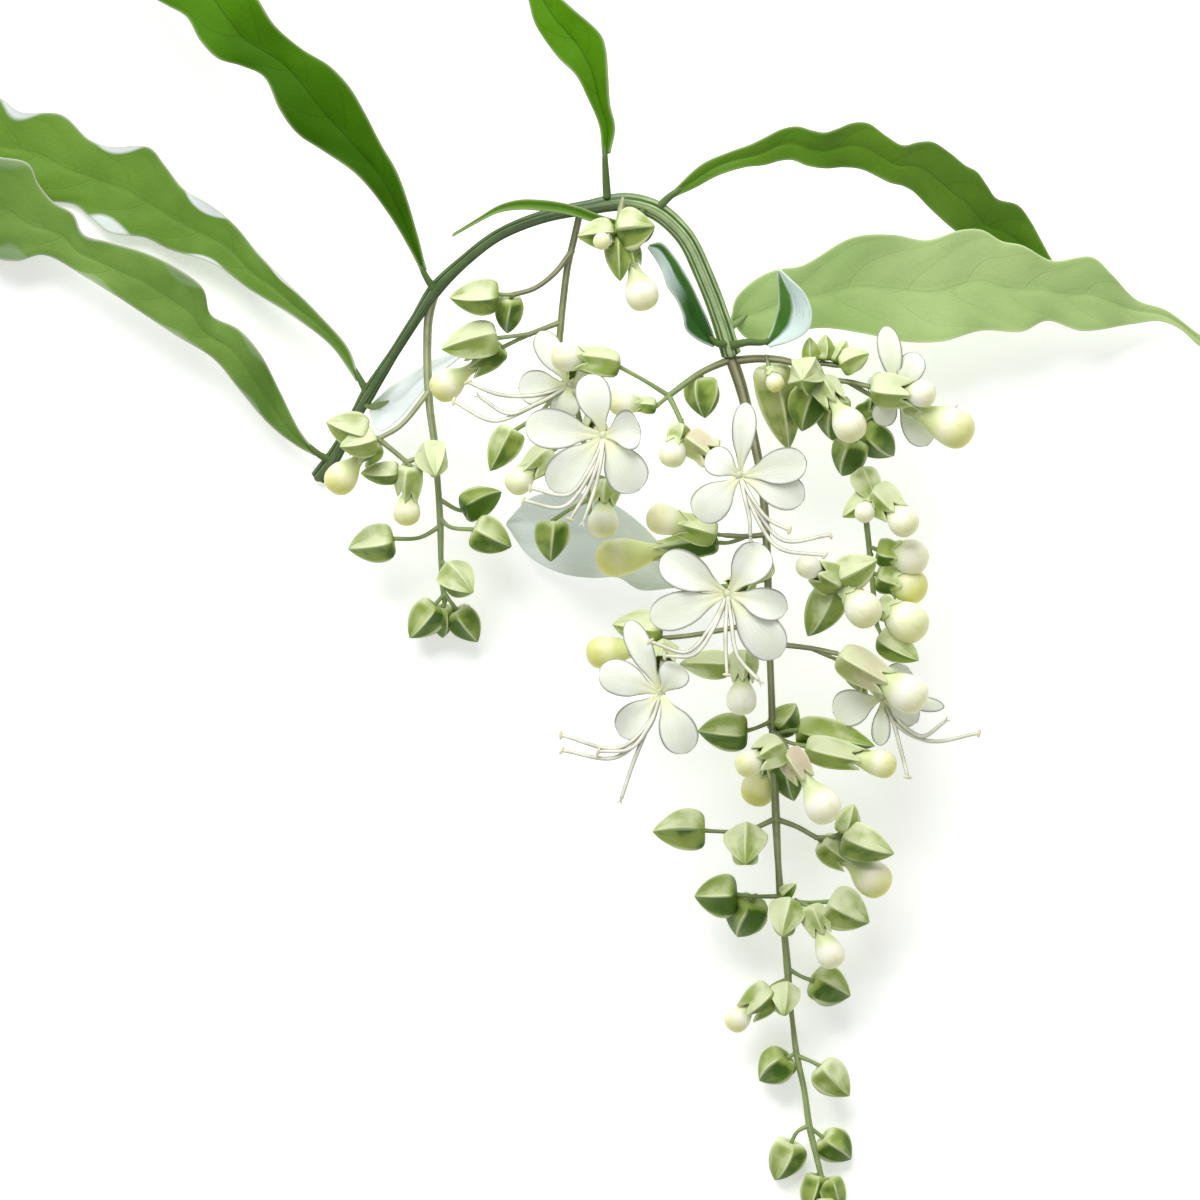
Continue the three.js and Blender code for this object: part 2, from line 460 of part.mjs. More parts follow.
        tip: [35, -116, 1.6], wide: 7,
      },
      { stalk: [[42, -105.4, 4.2], [44.6, -107.4, 3]], tip: [50.2, -111.8, 1.6], wide: 6.4 },
      { stalk: [[44, -114.4, 3.6], [43.4, -115, 2.6]], tip: [41.6, -122.6, 1.4], wide: 5 },
      { stalk: [[44.4, -116, 3.5], [45.6, -115.8, 2.6]], tip: [48.2, -122.6, 1.4], wide: 5 },
      { stalk: [[44.9, -119, 3.3], [45, -119.6, 3.2]], tip: [45, -125, 3.2], wide: 4 },
    ],
    buds: [
      { stalk: [[25, 12.8, 28.6], [22.8, 13, 29]], ball: [12.4, 16, 31], size: 6.2, calyx: 8 },
      {
        stalk: [[29, 12.6, 28], [25.6, 11.4, 26], [23, 11.4, 25]],
        ball: [3.2, 8.4, 19.6], size: 7.6, calyx: 12, wide: 5.8,
      },
      { stalk: [[30, -10.4, 28], [28.4, -10.4, 30]], ball: [28, -19.6, 33], size: 6 },
      {
        stalk: [[12, -7.6, 28.4], [11, -9, 28]],
        ball: [0.6, -10.4, 27.6], size: 6.4, calyx: 5.6, wide: 5,
      },
      {
        stalk: [[36.8, -29, 30], [36.2, -29.2, 30.4]],
        ball: [29.4, -32.4, 32.4], size: 5.2, wide: 7.4,
      },
      { stalk: [[36.8, -29, 30], [37.2, -29.8, 30.4]], ball: [44, -40.6, 31.6], size: 7.2, calyx: 7 },
      {
        stalk: [[34.4, -27, 20.8], [38, -28.4, 23.6], [41, -29, 25]],
        ball: [56, -32.6, 25.6], size: 5.4, calyx: 12, wide: 6.4,
      },
      {
        stalk: [[34.5, -29.6, 20.2], [34.4, -30.6, 18.6]],
        ball: [31.6, -37.4, 14.6], size: 7, calyx: 5, wide: 5.4,
      },
      {
        stalk: [[43, -47.2, 19.4], [44, -48, 18.6]],
        ball: [54.2, -55.4, 16.4], size: 7.4, calyx: 7.4, wide: 6.6,
      },
      {
        stalk: [[39, -59.9, 14.1], [41.6, -61, 16]],
        ball: [45.8, -70.4, 17.4], size: 5.6, calyx: 6.4, wide: 5.8,
      },
      {
        stalk: [[37.5, -75.6, 8.4], [34.6, -76.8, 9.6], [34, -77.4, 10]],
        ball: [27.4, -83.6, 10], size: 5, calyx: 7.4, wide: 7.4,
      },
      {
        stalk: [[47, -10.6, 29], [47.6, -10.9, 29.2]],
        ball: [61, -18.6, 31], size: 7.6, calyx: 11, wide: 7.4,
      },
    ],
    sockets: [
      { stalk: [[33.1, 5, 25.4], [31, 4, 28.5], [28.8, 3.4, 30.2]], flower: "flower_3" },
      { stalk: [[12, -7.6, 28.4], [12.8, -9.6, 30.4]], flower: "flower_4" },
      { stalk: [[42, -9.6, 27.5], [46, -11.4, 22.4], [49.4, -12.8, 20]], flower: "flower_5" },
    ],
  },
};

// Each flower has the path of its tube from inside the calyx to the throat. Its petals' tips, its
// stamens and its style are given from the throat, and the last number of a petal is its width.
const FLOWERS = {
  flower_0: {
    tube: [[-3.6, 44.4, 28.6], [-4.6, 43.4, 31.2], [-6, 42.4, 33]],
    petals: [
      [-6, 10.6, -0.8, 5.4], [-10, -0.6, 0.6, 7], [-1.4, -6, 0, 6], [7, -4, -1, 6], [5.6, 2.2, -1, 6],
    ],
    stamens: [
      [[-7, -2, 4], [-14, -1.8, 4.4], [-20, 0.6, 3.6]],
      [[-7, -4, 4], [-15, -7, 4.4], [-22.8, -3.2, 3.4]],
      [[-6, -3.4, 4.6], [-12, -5.6, 5], [-17.6, -2.4, 4.4]],
    ],
  },
  flower_1: {
    tube: [[-1.2, 34.2, 30.4], [0, 33.2, 37], [0.8, 32.4, 43]],
    petals: [
      [-3.2, 12, 1, 7], [-15.4, 2, 0.6, 8], [-10.6, -10.4, 0.4, 8], [6.6, -10.8, 0, 8.4], [7, 1.6, 1.4, 8],
    ],
    stamens: [
      [[-2.6, -6, 3.6], [-7, -11.6, 4.4], [-14.4, -10.4, 4.6]],
      [[-2.4, -7, 3.8], [-8, -14, 4.6], [-15.8, -12.8, 4.8]],
      [[-1.4, -6, 3.8], [-3.4, -11, 4.6], [-6.6, -16.4, 5]],
      [[-0.8, -6, 3.6], [-2, -11, 4.2], [-4, -16.8, 4.6]],
    ],
  },
  flower_2: {
    tube: [[18.6, 31, 37.2], [24.4, 27, 39.6], [27.6, 24.4, 43]],
    petals: [
      [1.2, 14.4, 1, 4.8], [13, 3, 1, 7.2], [12.6, -4.4, 0, 7.2], [-8.6, -8, 0.4, 7.6], [-6.4, 4.4, -1.6, 6],
    ],
    stamens: [
      [[2.6, -5.6, 3.4], [8.4, -12.6, 4], [17.6, -11.6, 4.6]],
      [[2.2, -6, 3.6], [7.4, -14, 4.2], [16.6, -15.6, 4.8]],
      [[2.6, -4.8, 3.8], [5.4, -8.4, 4.6], [9.6, -10.6, 5]],
      [[1, -4.6, 3.4], [1.8, -8.2, 4], [2, -11.8, 4.2]],
    ],
  },
  flower_3: {
    tube: [[28.2, 3.2, 32.2], [26.2, 2, 39], [25.2, 1.2, 45]],
    petals: [
      [-13.2, 7, 0.8, 7.6], [-15.2, -5, 0.6, 7.4], [7.2, 9.4, 1, 7.8], [11.6, -3, 0.4, 6.4],
      [10.2, -12.2, 0, 8.4],
    ],
    stamens: [
      [[-3.4, -6.4, 3.6], [-8, -11.4, 4], [-15.2, -9.4, 4.6]],
      [[-3, -7, 3.8], [-6.8, -12, 4.2], [-12.4, -12.2, 4.8]],
      [[-0.4, -5, 3.8], [-0.5, -10, 4.4], [-0.2, -15.8, 4.6]],
      [[0.6, -5, 3.6], [1.8, -12, 4.2], [6, -17, 4.6]],
    ],
  },
  flower_4: {
    tube: [[12.7, -11.4, 32.4], [12.3, -15, 39], [12, -18.4, 45]],
    petals: [
      [-6.4, 14.2, 1, 5], [-12, 4.6, 0.4, 7], [-8, -8.2, 0.2, 7], [5.2, -11.6, 0.4, 7.4], [3.8, 5.6, 2, 6.4],
    ],
    stamens: [
      [[-2.6, -6, 3.4], [-8.4, -10.8, 4], [-19.6, -8.2, 4.6]],
      [[-2.6, -7, 3.4], [-9, -12.6, 4], [-19.4, -11.2, 4.4]],
      [[-2.2, -6, 3.8], [-6, -10.8, 4.6], [-12.2, -11.4, 5]],
      [[-2.6, -6.6, 3.2], [-5.6, -14, 3.6], [-7.8, -20.6, 3.6]],
    ],
  },
  flower_5: {
    tube: [[50.6, -13.8, 20.6], [53.6, -17, 21.4], [56, -19.4, 23]],
    petals: [
      [-9.6, -3, 0, 7.4], [-0.4, -9.4, 0.4, 3.8], [7, -4.6, 0.4, 5], [12.2, -1.8, 0.4, 3], [5, 6, -1, 6],
    ],
    stamens: [
      [[3.4, -5.8, 1.6], [9.6, -8.6, 2.4], [19, -7, 3]],
      [[2.2, -5, 1.4], [3.6, -10, 1.8], [5, -15.6, 2]],
      [[3.8, -5.2, 2.2], [8, -7.6, 3], [12.2, -4.8, 3.6]],
    ],
  },
  flower_6: {
    tube: [[53.1, 36.9, 21.1], [56, 38.8, 24], [59, 40.6, 26.6]],
    petals: [
      [-2.4, 13.6, 0, 4.8], [4, 8.2, 0, 5.4], [6, -9.8, 0, 6], [-5.6, 3, 0.2, 5], [-4, -5.6, 0.4, 5],
    ],
    stamens: [
      [[4, -2, 0.6], [8, -3.4, 0.4], [11, -2.6, 0]],
    ],
  },
};

const UP = new THREE.Vector3(0, 0, 1);
const EAST = new THREE.Vector3(1, 0, 0);
const STEEP = 0.9; // a unit way that rises more than this has its side direction set from +X, not from +Z
const vec = (p) => new THREE.Vector3(p[0], p[1], p[2] ?? 0);
const sideWish = (forward) => (Math.abs(forward.z) > STEEP ? EAST : UP).clone();

// A closed body from its points and its triangles, wound to face out.
function bodyOf(points, triangles) {
  const geometry = new THREE.BufferGeometry().setFromPoints(points);
  const mesh = new wasm.Mesh({
    numProp: 3,
    vertProperties: geometry.getAttribute("position").array,
    triVerts: new Uint32Array(triangles.flat()),
  });
  return new wasm.Manifold(mesh);
}

const lastOf = (list) => list[list.length - 1];
const joined = (bodies) => bodies.reduce((whole, body) => whole.add(body));

// The triangles between two rings of points. Where one ring has twice the corners of the other, each
// side of the smaller ring faces a corner in between.
function band(low, lowCount, high, highCount) {
  const triangles = [];
  const sides = Math.min(lowCount, highCount);
  for (let k = 0; k < sides; k++) {
    const next = (k + 1) % sides;
    const [between, after] = [2 * k + 1, 2 * next];
    if (lowCount === highCount) {
      triangles.push([low + k, low + next, high + next], [low + k, high + next, high + k]);
    } else if (lowCount < highCount) {
      triangles.push([low + k, low + next, high + between]);
      triangles.push([low + k, high + between, high + 2 * k], [low + next, high + after, high + between]);
    } else {
      triangles.push([low + between, high + next, high + k]);
      triangles.push([low + 2 * k, low + between, high + k], [low + between, low + after, high + next]);
    }
  }
  return triangles;
}

// A body through closed rings of points, each ring turning left round its forward way. The first ring
// is closed flat and the last one runs to the point `end`.
function lofted(rings, end) {
  const points = rings.flat();
  const triangles = [];
  let low = 0;
  for (let k = 2; k < rings[0].length; k++) triangles.push([0, k, k - 1]);
  for (let ring = 1; ring < rings.length; ring++) {
    const high = low + rings[ring - 1].length;
    triangles.push(...band(low, rings[ring - 1].length, high, rings[ring].length));
    low = high;
  }
  const sides = lastOf(rings).length;
  for (let k = 0; k < sides; k++) triangles.push([low + k, low + ((k + 1) % sides), points.length]);
  return bodyOf([...points, end], triangles);
}

// A ring round `centre`, square to the unit vector `forward`, with the radius of each corner k.
function ringAround(centre, side, forward, sides, radiusAt) {
  const across = new THREE.Vector3().crossVectors(forward, side);
  return Array.from({ length: sides }, (_, k) => {
    const angle = (2 * Math.PI * k) / sides;
    return centre
      .clone()
      .addScaledVector(side, radiusAt(k) * Math.cos(angle))
      .addScaledVector(across, radiusAt(k) * Math.sin(angle));
  });
}

// A tapering tube through points [x, y, z], with a radius at each of them. The frame is carried along
// the path without twisting. `hollow` draws every second corner in, which leaves ridges.
function tube(path, radii, { sides, steps, hollow = 1 }) {
  const curve = new THREE.CatmullRomCurve3(path.map(vec), false, "centripetal");
  const rings = [];
  let side;
  let forward;
  for (let i = 0; i <= steps; i++) {
    const t = i / steps;
    forward = curve.getTangent(t);
    side ??= sideWish(forward);
    side = side.clone().addScaledVector(forward, -side.dot(forward)).normalize();
    const place = t * (radii.length - 1);
    const before = Math.min(Math.floor(place), radii.length - 2);
    const radius = THREE.MathUtils.lerp(radii[before], radii[before + 1], place - before);
    const radiusOf = (k) => (k % 2 ? radius * hollow : radius);
    rings.push(ringAround(curve.getPoint(t), side, forward, sides, radiusOf));
  }
  return lofted(rings, curve.getPoint(1).addScaledVector(forward, TUBE_END * lastOf(radii)));
}

// Where a bud or calyx stands: its base, its unit axis and a side direction.
function standing(base, towards) {
  const start = vec(base);
  const forward = vec(towards).sub(start);
  const length = forward.length();
  forward.normalize();
  const side = sideWish(forward);
  side.addScaledVector(forward, -side.dot(forward)).normalize();
  return { start, forward, side, length, at: (d) => start.clone().addScaledVector(forward, d) };
}

// A stalk's first point is shifted back into what carries it.
const STALK_SINK = 0.17;
const sunkStart = (path) => standing(path[0], path[1]).at(-STALK_SINK);
function stalk(path, radius, sides) {
  const points = [sunkStart(path).toArray(), ...path.slice(1)];
  return tube(points, [radius * STALK_FOOT, radius], { sides, steps: path.length - 1 });
}

// A calyx on its stalk: the stalk's rings lead into the calyx's own. After a sharp bend the two are
// joined as separate bodies, since their rings would cross.
const SHARP_BEND = THREE.MathUtils.degToRad(80);
const BENT_STALK_SIDES = 3;
function stalked(path, place, rings, end) {
  const points = [sunkStart(path), ...path.slice(1, -1).map(vec), place.start];
  const arriving = lastOf(points).clone().sub(points[points.length - 2]);
  if (arriving.angleTo(place.forward) > SHARP_BEND)
    return joined([stalk(path, STALK_RADIUS, BENT_STALK_SIDES), lofted(rings, end)]);
  let side = place.side;
  const stalkRings = [];
  for (let i = points.length - 2; i >= 0; i--) {
    const forward = points[i + 1].clone().sub(points[Math.max(i - 1, 0)]).normalize();
    side = side.clone().addScaledVector(forward, -side.dot(forward)).normalize();
    stalkRings.unshift(ringAround(points[i], side, forward, CALYX_SIDES, () => STALK_RADIUS));
  }
  return lofted([...stalkRings, ...rings], end);
}

// A closed calyx: a five-angled pod, round at the base and drawn to a point.
const POD_PROFILE = [[-0.04, 0.12], [0.3, 0.55], [0.68, 0.44]]; // share of length, of width
function pod({ stalk: path, tip, wide }) {
  const place = standing(lastOf(path), tip);
  const { forward, side, length, at } = place;
  const ring = (distance, half) => ringAround(at(distance), side, forward, CALYX_SIDES, () => half);
  const rings = POD_PROFILE.map(([share, half]) => ring(share * length, half * wide));
  return stalked(path, place, rings, at(length));
}

// An open calyx: a five-angled cup whose mouth ends in five pointed lobes. It holds a bud's corolla,
// whose neck swells into a round ball beyond the lobes, or it is left with a filled throat.
const CUP_PROFILE = [[-0.04, 0.12], [0.36, 0.52]]; // share of length, of width
const LOBE = { tipHalf: 0.42, notch: 0.7, notchHalf: 0.4, inner: 0.66, innerHalf: 0.3, floor: 0.6 };
// The neck of a bud starts at a share of its calyx's length. Its half width is a share of the ball's
// size, but no more than a share of the calyx's mouth.
const NECK = { from: 0.55, half: 0.17, room: 0.8 };
const BALL_PROFILE = [[-0.5, 0.3], [-0.18, 0.52], [0.22, 0.49]]; // shares of the ball's size
const BALL_TIP = 0.53;
const BALL_CLEAR = 0.3; // how far behind the ball's middle the lobes end, of its size
function cup({ stalk: path, towards, calyx, wide, size }) {
  const place = standing(lastOf(path), towards);
  const { forward, side, length: reach, at } = place;
  const length = size ? Math.min(calyx, reach - BALL_CLEAR * size) : calyx;
  const ring = (distance, half, sides = CALYX_SIDES) =>
    ringAround(at(distance), side, forward, sides, () => half);
  const mouth = LOBE.innerHalf * wide;
  const rings = CUP_PROFILE.map(([share, half]) => ring(share * length, half * wide));
  const tips = ring(length, LOBE.tipHalf * wide, 2 * CALYX_SIDES);
  const notches = ring(LOBE.notch * length, LOBE.notchHalf * wide, 2 * CALYX_SIDES);
  rings.push(tips.map((point, k) => (k % 2 ? notches[k] : point)));
  rings.push(ring(LOBE.inner * length, mouth));
  if (!size) return stalked(path, place, rings, at(LOBE.floor * length));
  rings.push(ring(NECK.from * length, Math.min(NECK.half * size, NECK.room * mouth)));
  for (const [share, half] of BALL_PROFILE) {
    const distance = reach + share * size;
    const inside = distance < length; // where the ball is still within the lobes it keeps to the mouth
    rings.push(ring(distance, inside ? Math.min(half * size, mouth) : half * size));
  }
  return stalked(path, place, rings, at(reach + BALL_TIP * size));
}

// A plate from a grid of points, thickened along the grid's own normals. Both faces and the rim use
// the same grid, so they are split into triangles alike.
function plate(grid, thick) {
  const rows = grid.length;
  const columns = grid[0].length;
  const normalAt = (i, j) => {
    const along = grid[Math.min(i + 1, rows - 1)][j].clone().sub(grid[Math.max(i - 1, 0)][j]);
    const across = grid[i][Math.min(j + 1, columns - 1)].clone().sub(grid[i][Math.max(j - 1, 0)]);
    return along.cross(across).normalize();
  };
  const points = [];
  for (const way of [0.5, -0.5])
    for (let i = 0; i < rows; i++)
      for (let j = 0; j < columns; j++)
        points.push(grid[i][j].clone().addScaledVector(normalAt(i, j), way * thick));
  const upper = (i, j) => i * columns + j;
  const lower = (i, j) => rows * columns + upper(i, j);
  const triangles = [];
  for (let i = 1; i < rows; i++)
    for (let j = 1; j < columns; j++) {
      const corners = [[i - 1, j - 1], [i, j - 1], [i, j], [i - 1, j]];
      const [a, b, c, d] = corners.map(([row, column]) => upper(row, column));
      const [e, f, g, h] = corners.map(([row, column]) => lower(row, column));
      triangles.push([a, b, c], [a, c, d], [e, g, f], [e, h, g]);
    }
  const rim = [];
  for (let j = 0; j < columns - 1; j++) rim.push([0, j]);
  for (let i = 0; i < rows - 1; i++) rim.push([i, columns - 1]);
  for (let j = columns - 1; j > 0; j--) rim.push([rows - 1, j]);
  for (let i = rows - 1; i > 0; i--) rim.push([i, 0]);
  rim.forEach(([i, j], k) => {
    const [m, n] = rim[(k + 1) % rim.length];
    triangles.push([upper(i, j), upper(m, n), lower(m, n)], [upper(i, j), lower(m, n), lower(i, j)]);
  });
  const body = bodyOf(points, triangles);
  return body.volume() > 0 ? body : bodyOf(points, triangles.map(([p, q, r]) => [p, r, q]));
}

// A leaf: a blade stretched between its two waved edges, keeled along the middle, on a round stalk.
const LEAF_COLUMNS = [-1, 0, 1];
const LEAF_STALK_RADII = [0.85, 0.75, 0.5];
const LEAF_STALK_SIDES = 5;
const WAVE_START = { first: 0.9, second: 2.6 }; // where the two edges' waves begin, in radians
const CALM_HALF = 4; // a blade narrower than this to either side has lower waves
function leaf(shape) {
  const flat = (edge) => new THREE.CatmullRomCurve3(edge.map(vec), false, "centripetal");
  const first = flat(shape.first);
  const second = flat(shape.second);
  const height = new THREE.CatmullRomCurve3(shape.heights.map((z, k) => new THREE.Vector3(k, 0, z)));
  const grid = [];
  for (let i = 0; i <= shape.rows; i++) {
    const u = i / shape.rows;
    const from = first.getPointAt(u);
    const to = second.getPointAt(u);
    const half = from.distanceTo(to) / 2;
    const middle = height.getPoint(u).z;
    grid.push(
      LEAF_COLUMNS.map((v) => {
        const point = from.clone().lerp(to, (v + 1) / 2);
        const start = v < 0 ? WAVE_START.first : WAVE_START.second;
        const wave = Math.sin(2 * Math.PI * shape.waves * u + start);
        const calm = Math.min(1, half / CALM_HALF);
        const lift = (shape.tilt * v + shape.keel * Math.abs(v)) * half;
        point.z = middle + lift + shape.ripple * wave * v * v * calm;
        return point;
      }),
    );
  }
  const steps = shape.stalk.length;
  const carrier = tube(shape.stalk, LEAF_STALK_RADII, { sides: LEAF_STALK_SIDES, steps });
  return joined([plate(grid, LEAF_THICK), carrier]);
}

// A petal from the throat to its tip: narrow at its claw, broad and rounded beyond the middle, bowed
// up along its length.
const PETAL_OUTLINE = [[0.06, 0.16], [0.3, 0.5], [0.62, 1], [0.88, 0.86], [1, 0.4]];
const PETAL_BOW = 1.3;
const CLAW_SINK = 0.45;
function petal(throat, [x, y, z, wide]) {
  const reach = new THREE.Vector3(x, y, z);
  const across = new THREE.Vector3().crossVectors(UP, reach).normalize();
  const grid = PETAL_OUTLINE.map(([share, half]) =>
    [-1, 1].map((v) =>
      throat
        .clone()
        .addScaledVector(reach, share)
        .addScaledVector(across, (v * half * wide) / 2)
        .addScaledVector(UP, PETAL_BOW * Math.sin(Math.PI * share) - CLAW_SINK * (1 - share)),
    ),
  );
  return plate(grid, PETAL_THICK);
}

// A stamen or the style: a thin curved thread from inside the throat, thickened at its end.
const THREAD_SHAPE = { sides: 3, steps: 4 };
const THREAD_SINK = 1; // how far below the throat's mouth a thread starts
function thread(throat, path, radius, endRadius) {
  const points = [[0, 0, -THREAD_SINK], ...path].map((p) => throat.clone().add(vec(p)).toArray());
  return tube(points, [radius, radius, radius, radius * THREAD_TAPER, endRadius], THREAD_SHAPE);
}

// An open flower: its tube, five petals and its threads, the last of which is the style.
function flower({ tube: path, petals, stamens }) {
  const throat = vec(lastOf(path));
  const neck = tube(path, [FLOWER_TUBE_RADIUS, FLOWER_TUBE_RADIUS, FLOWER_THROAT_RADIUS], FLOWER_TUBE_SHAPE);
  const limb = petals.map((row) => petal(throat, row));
  const threads = stamens.map((row, k) =>
    k === stamens.length - 1
      ? thread(throat, row, STYLE_RADIUS, STYLE_RADIUS)
      : thread(throat, row, FILAMENT_RADIUS, ANTHER_RADIUS),
  );
  return joined([neck, ...limb, ...threads]);
}

// The room that a flower's tube needs in its calyx: the tube itself, wider and longer by the seat gap.
function tubeRoom({ tube: path }) {
  const { at } = standing(path[0], path[1]);
  const longer = [at(-SEAT_GAP).toArray(), ...path.slice(1)];
  const radius = FLOWER_TUBE_RADIUS + SEAT_GAP;
  return tube(longer, [radius, radius, FLOWER_THROAT_RADIUS + SEAT_GAP], FLOWER_TUBE_SHAPE);
}

// A raceme: its axis and branches, with closed calyces, buds in their open ones, and the calyces that
// the flowers are seated in.
function raceme({ axis, stalks = [], pods, buds, sockets = [] }) {
  const radii = axis.map((p) => p[3]);
  const bodies = [tube(axis, radii, { sides: AXIS_SIDES, steps: axis.length - 1 })];
  for (const path of stalks) bodies.push(stalk(path, BRANCH_RADIUS, AXIS_SIDES));
  for (const item of pods) bodies.push(pod(item));
  for (const item of buds)
    bodies.push(cup({ calyx: BUD_CALYX.length, wide: BUD_CALYX.wide, ...item, towards: item.ball }));
  for (const item of sockets) {
    const towards = FLOWERS[item.flower].tube[1];
    bodies.push(cup({ calyx: FLOWER_CALYX.length, wide: FLOWER_CALYX.wide, ...item, towards }));
  }
  let whole = joined(bodies);
  for (const item of sockets) whole = whole.subtract(tubeRoom(FLOWERS[item.flower]));
  return whole;
}

// The stem, or the room that pieces seated on it keep clear of.
function stem(clearance = 0) {
  const radii = STEM.map((p) => p[3] + clearance);
  const path = STEM.map((p) => p.slice(0, 3));
  const hollow = STEM_HOLLOW + ROOM_FILL * clearance;
  return tube(path, radii, { sides: 2 * STEM_RIDGES, steps: STEM_STEPS, hollow });
}

// Everything below the table's surface, which flattens what rests on it.
function belowTable() {
  const box = new THREE.BoxGeometry(TABLE_SIZE, TABLE_SIZE, TABLE_DEPTH).translate(0, 0, -TABLE_DEPTH / 2);
  const place = box.getAttribute("position");
  const corners = [];
  const index = Array.from(box.index.array, (k) => {
    const point = new THREE.Vector3().fromBufferAttribute(place, k);
    let found = corners.findIndex((corner) => corner.equals(point));
    if (found < 0) found = corners.push(point) - 1;
    return found;
  });
  const triangles = [];
  for (let k = 0; k < index.length; k += 3) triangles.push(index.slice(k, k + 3));
  return bodyOf(corners, triangles);
}

// The largest of the bodies that a cut leaves, so that a loose scrap is dropped.
function largest(body) {
  const parts = body.decompose();
  return parts.reduce((most, one) => (one.volume() > most.volume() ? one : most));
}

const spray = new THREE.Group();
spray.position.set(-SPRAY_MIDDLE[0], -SPRAY_MIDDLE[1], 0);
const table = belowTable();

function addPiece(name, finish, body) {
  const mesh = largest(body.subtract(table)).getMesh();
  const geometry = new THREE.BufferGeometry();
  geometry.setAttribute("position", new THREE.BufferAttribute(mesh.vertProperties, 3));
  geometry.setIndex(new THREE.BufferAttribute(mesh.triVerts, 1));
  const material = new THREE.MeshStandardMaterial({ ...FINISH[finish], metalness: 0 });
  const piece = new THREE.Mesh(geometry, material);
  piece.name = name;
  spray.add(piece);
}

const stemRoom = stem(SEAT_GAP);
addPiece("main_stem", "stem", stem());
const mainAxis = RACEMES.raceme_main.axis;
const axisRoom = tube(
  mainAxis,
  mainAxis.map((p) => p[3] + SEAT_GAP),
  { sides: AXIS_SIDES, steps: mainAxis.length - 1 },
);
for (const [name, shape] of Object.entries(LEAVES)) {
  const body = leaf(shape).subtract(stemRoom);
  addPiece(name, shape.finish, name === "leaf_k" ? body.subtract(axisRoom) : body);
}
for (const [name, shape] of Object.entries(RACEMES)) {
  addPiece(name, "calyx", raceme(shape).subtract(stemRoom));
}
for (const [name, shape] of Object.entries(FLOWERS)) addPiece(name, "petal", flower(shape));

export default spray;
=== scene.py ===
"""A cut flowering spray of pendant jasmine, lying on a plain pale floor and seen from straight above.

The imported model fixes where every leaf, raceme and flower lies. Each piece here replaces its node with
a finer surface on the same routes: points are in millimetres from the middle of the view, +Z up, and
are moved to the spray's own middle and to metres when a mesh is made.
"""

import logging
from dataclasses import dataclass, replace
from enum import Enum

import bpy
import numpy as np
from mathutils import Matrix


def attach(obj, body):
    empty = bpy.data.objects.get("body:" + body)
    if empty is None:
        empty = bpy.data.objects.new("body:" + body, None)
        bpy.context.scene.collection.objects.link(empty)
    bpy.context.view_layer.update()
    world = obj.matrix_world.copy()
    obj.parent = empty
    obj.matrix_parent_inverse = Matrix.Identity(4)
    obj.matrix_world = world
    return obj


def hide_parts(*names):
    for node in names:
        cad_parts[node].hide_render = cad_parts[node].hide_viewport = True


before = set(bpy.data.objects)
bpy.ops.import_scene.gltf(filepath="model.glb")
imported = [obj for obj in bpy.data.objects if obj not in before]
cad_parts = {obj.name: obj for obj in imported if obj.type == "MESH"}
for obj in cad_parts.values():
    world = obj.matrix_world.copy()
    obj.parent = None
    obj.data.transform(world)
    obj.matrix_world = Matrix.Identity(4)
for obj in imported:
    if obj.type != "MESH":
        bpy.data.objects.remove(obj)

log = logging.getLogger("jasmine_spray")

Array = np.ndarray
Span = tuple[float, float]
Point = tuple[float, float, float]
Route = tuple[Point, ...]
Outline = tuple[Span, ...]
Row = tuple[float, ...]
Colour = tuple[float, float, float]
Output = bpy.types.NodeSocket
Draws = np.random.Generator
Triple = tuple[Array | float, Array | float, Array | float]
PLAIN: Triple = (0.0, 0.0, 0.0)  # where a surface has no such values

MM = 0.001
VIEW_TO_SPRAY = np.array((14.4, -15.9, 0.0))  # from the middle of the view to the spray's own middle
VIEW_WIDTH = 240.0  # side of the square that the camera frames
UP = np.array((0.0, 0.0, 1.0))
EAST = np.array((1.0, 0.0, 0.0))
LIT_SIDE = np.array((-0.25, 0.94, 0.2))  # the side the key light comes from; faces towards it get painted light, faces away painted shade
STEEP = 0.9  # a way that rises more than this is given a sideways start direction
TINY = 1e-9  # stands in for a length of zero
FINE_STEPS = 40  # places for each given point where a curve's length is measured
TIP_BULGE = 0.35  # how far a tube's end stands out, as a share of its radius there
BUMP_DEPTH = 0.1  # height of the finest relief
PLAIN_TONE = 0.5  # from this tone on a stalk shows no dusk
FLOWER_SEED = 31  # of the first flower's small differences


class Slot(Enum):
    """The material slots."""

    STEM = "stem"
    LEAF = "leaf"
    PALE_LEAF = "pale_leaf"
    CALYX = "calyx"
    PETAL = "petal"


def unit(vectors: Array) -> Array:
    """Each vector divided by its length."""
    return vectors / np.maximum(np.linalg.norm(vectors, axis=-1, keepdims=True), TINY)


def smooth_step(low: float, high: float, values: Array) -> Array:
    """0 below low, 1 above high and 3t^2 - 2t^3 in between."""
    share = np.clip((values - low) / (high - low), 0.0, 1.0)
    return share * share * (3.0 - 2.0 * share)


